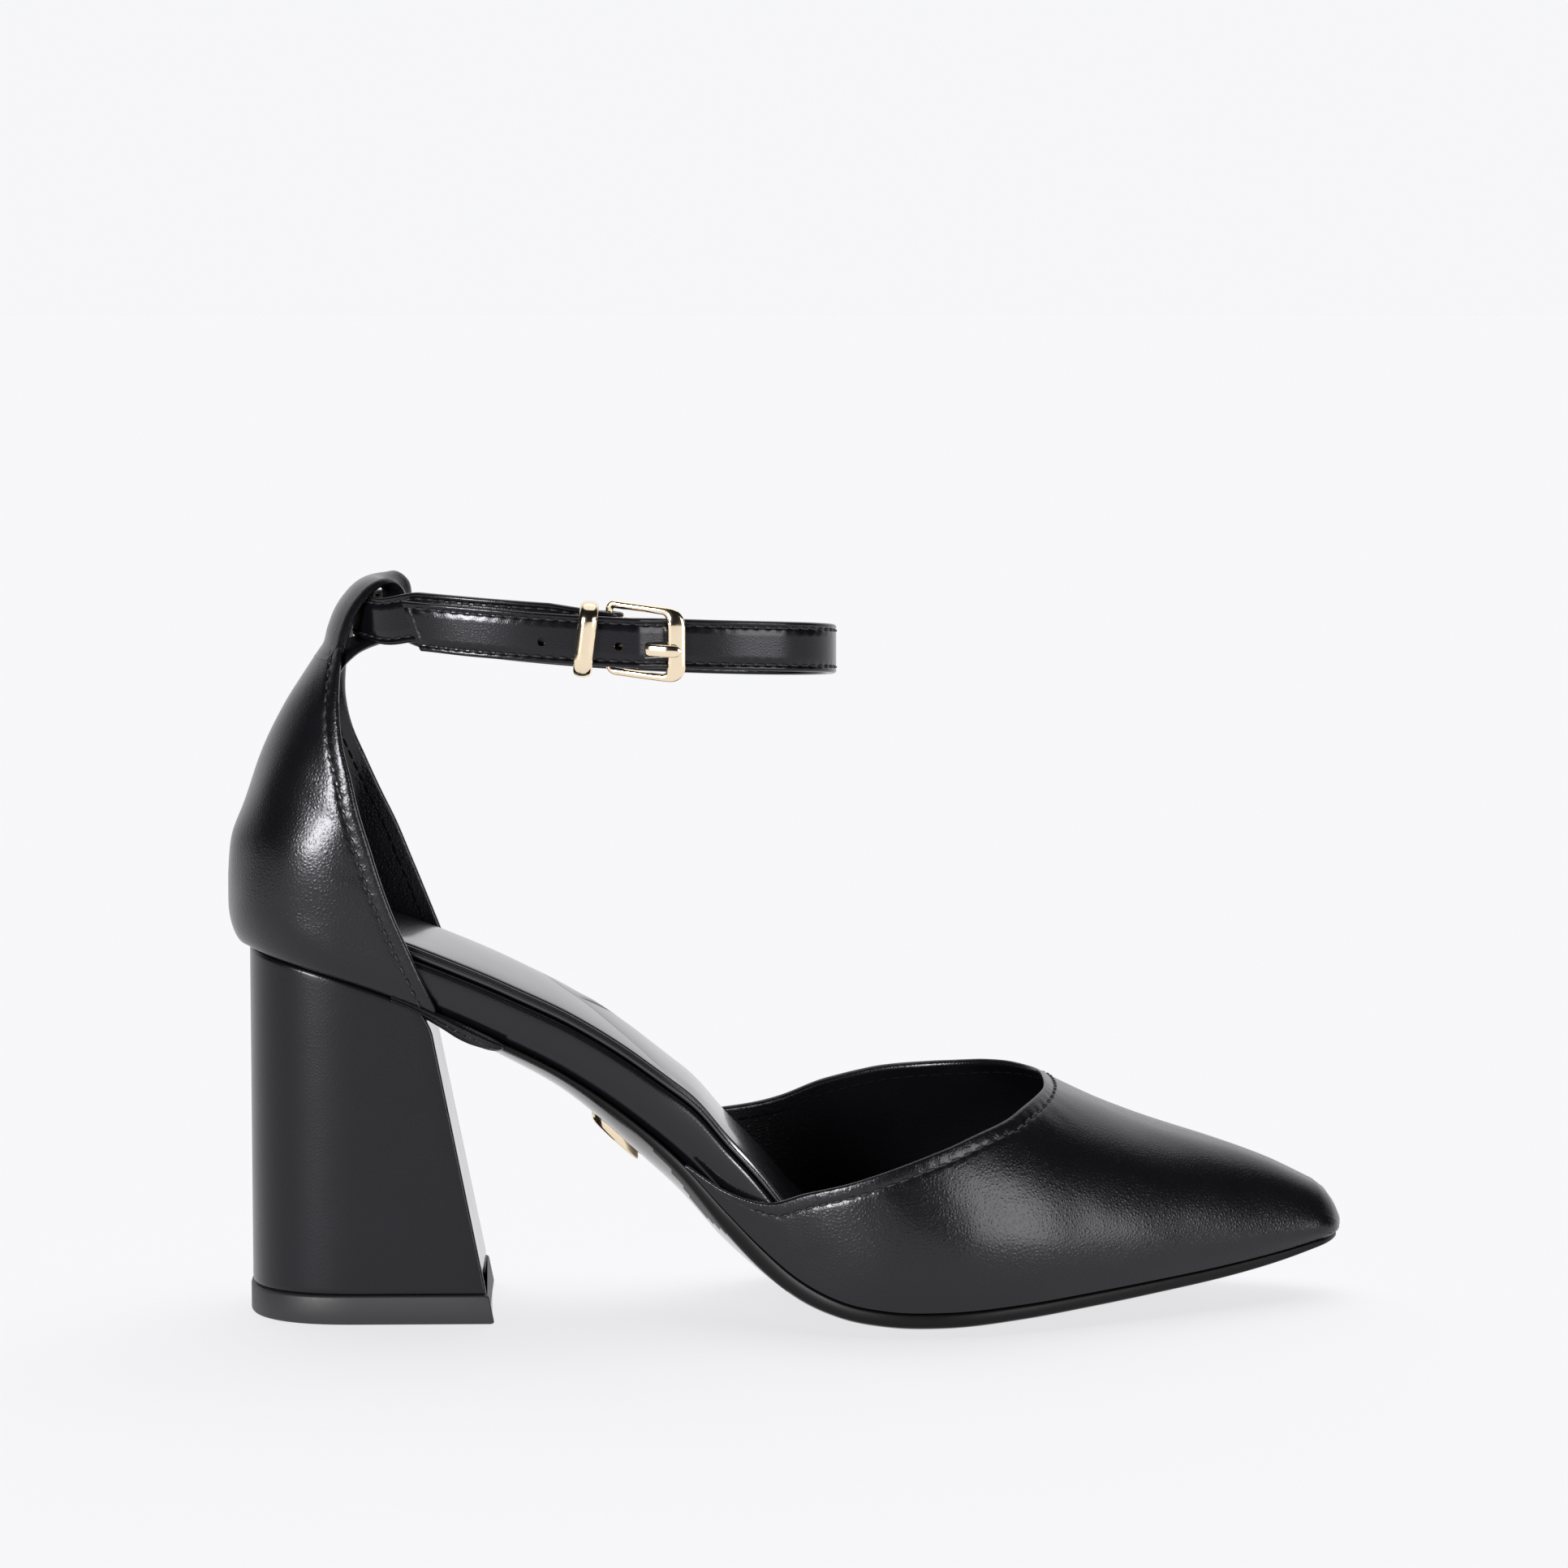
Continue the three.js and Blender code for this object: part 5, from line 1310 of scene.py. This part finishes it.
# Its middle line in mm from the top of the quarter's back: up from between the quarter's layers,
# over, and back down to the quarter's inner face
loopTable = table(
    "step along up",
    (0, -1.6, -3.6), (1, -0.5, -2.2), (2, 0.6, -0.4), (3, 1.05, 1.0), (4, 1.5, 2.9), (5, 2.6, 6.0),
    (6, 3.8, 8.3), (7, 5.1, 10.1), (8, 6.8, 12.0), (9, 8.6, 13.3), (10, 10.5, 14.0), (11, 11.9, 13.8),
    (12, 13.0, 12.9), (13, 13.7, 11.7), (14, 14.0, 9.5), (15, 13.75, 7.0), (16, 12.9, 4.4), (17, 11.2, 2.5),
    (18, 9.0, 1.3), (19, 6.4, 0.3), (20, 4.2, -0.8), (21, 2.6, -2.0), (22, 1.2, -3.3), (23, 0.2, -4.6),
    (24, -0.7, -6.0))


def buildLoop():
    size = loopSizes
    topX = xOf(wall["loopAt"])
    topZ = seatBack + quarterSizes["height"]
    rings = []
    steps, bends = 144, 30
    side = [(size["wall"] / 2, k / bends) for k in range(1, bends)]
    side += [(size["wall"] * e, s - 0.005) for e, s in ((0.35, 1), (0, 1.02), (-0.35, 1))]
    section = side + [(-offset, 1 - share) for offset, share in side]
    for i in range(steps + 1):
        step = loopTable[-1]["step"] * i / steps

        def spot(at):
            along, up = (tableValue(loopTable, key, at, "step") for key in ("along", "up"))
            return Vector((along, 0, up))

        ahead = (spot(step + 0.2) - spot(step - 0.2)).normalized()
        out = Vector((-ahead.z, 0, ahead.x))
        middle = Vector((topX, 0, topZ)) + spot(step)
        ring = []
        for offset, share in section:
            y = size["width"] * (share - 0.5)
            fold = 0
            if offset > size["wall"] * 0.4:
                fold = size["fold"] * bell(abs(y), size["width"] / 2 - 0.9, 0.9)
            point = middle + out * (offset + fold)
            point.x += size["bend"] - math.sqrt(size["bend"] ** 2 - y * y)
            point.y = y
            ring.append(point)
        rings.append(ring)
    count = len(rings[0])
    faces = gridFaces(steps + 1, count, wrapColumns=True) + [capRing(0, count), capRing(steps * count, count)]
    makePiece("strapLoopLeather", allPoints(rings), faces, upperLeather, ["strap_loop"], 60)


buildLoop()
print("loop made")


# Floor, light and camera

stageLook = dict(floorColour="B2B2B4", floorGlow=0.745, floorReach=12.0, backdrop=(0.925, 0.925, 0.945),
                 studio=(0.01, 0.01, 0.012), topPower=0.8, topSpread=60, topTurn=(-14, 6))


# Matt painted studio floor, lit from below as on a light table, so that shadows stay faint
def paintedFloorMaterial():
    material, tree, place = newMaterial("paintedFloor")
    speck = addNode(tree, "ShaderNodeTexNoise", {"Scale": 40.0}, {"Vector": place})
    skin = addNode(tree, "ShaderNodeBump", {"Strength": 0.02, "Distance": 0.2 * mm},
                   {"Height": speck.outputs["Fac"]})
    finishMaterial(tree, {"Base Color": linearColour(stageLook["floorColour"]), "Roughness": 0.9,
                          "Specular IOR Level": 0.0, "Emission Color": (0.985, 0.985, 1, 1),
                          "Emission Strength": stageLook["floorGlow"]}, {"Normal": skin.outputs["Normal"]})
    return material


offFloor = bpy.data.collections.new("softBoxesLightTheShoeAlone")


def buildStage():
    mesh = bpy.data.meshes.new("paleFloor")
    size = stageLook["floorReach"]
    corners = [(-size, -size, 0), (size, -size, 0), (size, size, 0), (-size, size, 0)]
    mesh.from_pydata(corners, [], [(0, 1, 2, 3)])
    mesh.materials.append(paintedFloorMaterial())
    floor = bpy.data.objects.new("paleFloor", mesh)
    bpy.context.scene.collection.objects.link(floor)
    offFloor.objects.link(floor)
    offFloor.collection_objects[0].light_linking.link_state = "EXCLUDE"
    world = bpy.data.worlds.new("studio")
    world.use_nodes = True
    tree = world.node_tree
    tree.nodes.clear()
    # A white backdrop behind the shoe and a dark room around the camera
    direction = addNode(tree, "ShaderNodeTexCoord").outputs["Generated"]
    parts = addNode(tree, "ShaderNodeSeparateXYZ", links={"Vector": direction})
    share = addNode(tree, "ShaderNodeMapRange",
                    {"From Min": 0.2, "From Max": 0.75, "interpolation_type": "SMOOTHSTEP"},
                    {"Value": parts.outputs["Y"]})
    colour = addNode(tree, "ShaderNodeMix", {"data_type": "RGBA"}, {"Factor": share.outputs["Result"]})
    colour.inputs["A"].default_value = (*stageLook["studio"], 1)
    colour.inputs["B"].default_value = (*stageLook["backdrop"], 1)
    light = addNode(tree, "ShaderNodeBackground", {"Strength": 1.0}, {"Color": colour.outputs["Result"]})
    addNode(tree, "ShaderNodeOutputWorld", links={"Surface": light.outputs["Background"]})
    bpy.context.scene.world = world
    bpy.context.scene.view_settings.view_transform = "Standard"


softBoxes = table(
    "name angles distance size power target",
    ("softLeft", (-120, 14), 1.5, (0.38, 0.46), 25, (0, 0, 0.1)),
    ("softRight", (-46, 12), 1.5, (0.85, 0.6), 9.5, (0.14, 0, 0.03)))


def areaLight(name, angles, distance, size, power, target):
    turn, lift = (math.radians(a) for a in angles)
    toLight = Vector((math.cos(lift) * math.cos(turn), math.cos(lift) * math.sin(turn), math.sin(lift)))
    data = bpy.data.lights.new(name, "AREA")
    data.shape = "RECTANGLE"
    data.size, data.size_y = size
    data.energy = power
    light = bpy.data.objects.new(name, data)
    light.light_linking.receiver_collection = offFloor
    light.location = Vector(target) + toLight * distance
    light.rotation_euler = (-toLight).to_track_quat("-Z", "Y").to_euler()
    bpy.context.scene.collection.objects.link(light)


# A very wide, even top light, as from a large diffuser under the ceiling
def softSun():
    data = bpy.data.lights.new("softTop", "SUN")
    data.energy = stageLook["topPower"]
    data.angle = math.radians(stageLook["topSpread"])
    light = bpy.data.objects.new("softTop", data)
    light.rotation_euler = (*(math.radians(a) for a in stageLook["topTurn"]), 0)
    bpy.context.scene.collection.objects.link(light)


# The camera looks slightly down and a little from the front, as in the photograph
cameraView = dict(distance=1200, focal=6660, imageWidth=1932, sensor=36, pitch=6, yaw=1.5,
                  target=(92.4, 0, 116.6))


def buildCamera():
    pitch, yaw = math.radians(cameraView["pitch"]), math.radians(cameraView["yaw"])
    forward = Vector((math.sin(yaw) * math.cos(pitch), math.cos(yaw) * math.cos(pitch), -math.sin(pitch)))
    right = Vector((math.cos(yaw), -math.sin(yaw), 0))
    up = right.cross(forward)
    place = Vector(cameraView["target"]) - forward * cameraView["distance"]
    data = bpy.data.cameras.new("camera")
    data.sensor_width = cameraView["sensor"]
    data.sensor_fit = "HORIZONTAL"
    data.lens = cameraView["focal"] / cameraView["imageWidth"] * cameraView["sensor"]
    data.clip_start, data.clip_end = 0.05, 50
    camera = bpy.data.objects.new("camera", data)
    turn = Matrix((right, up, -forward)).transposed().to_4x4()
    camera.matrix_world = Matrix.Translation(place * mm) @ turn
    bpy.context.scene.collection.objects.link(camera)
    bpy.context.scene.camera = camera


buildStage()
softSun()
for softBox in softBoxes:
    areaLight(**softBox)
buildCamera()
print("stage made")
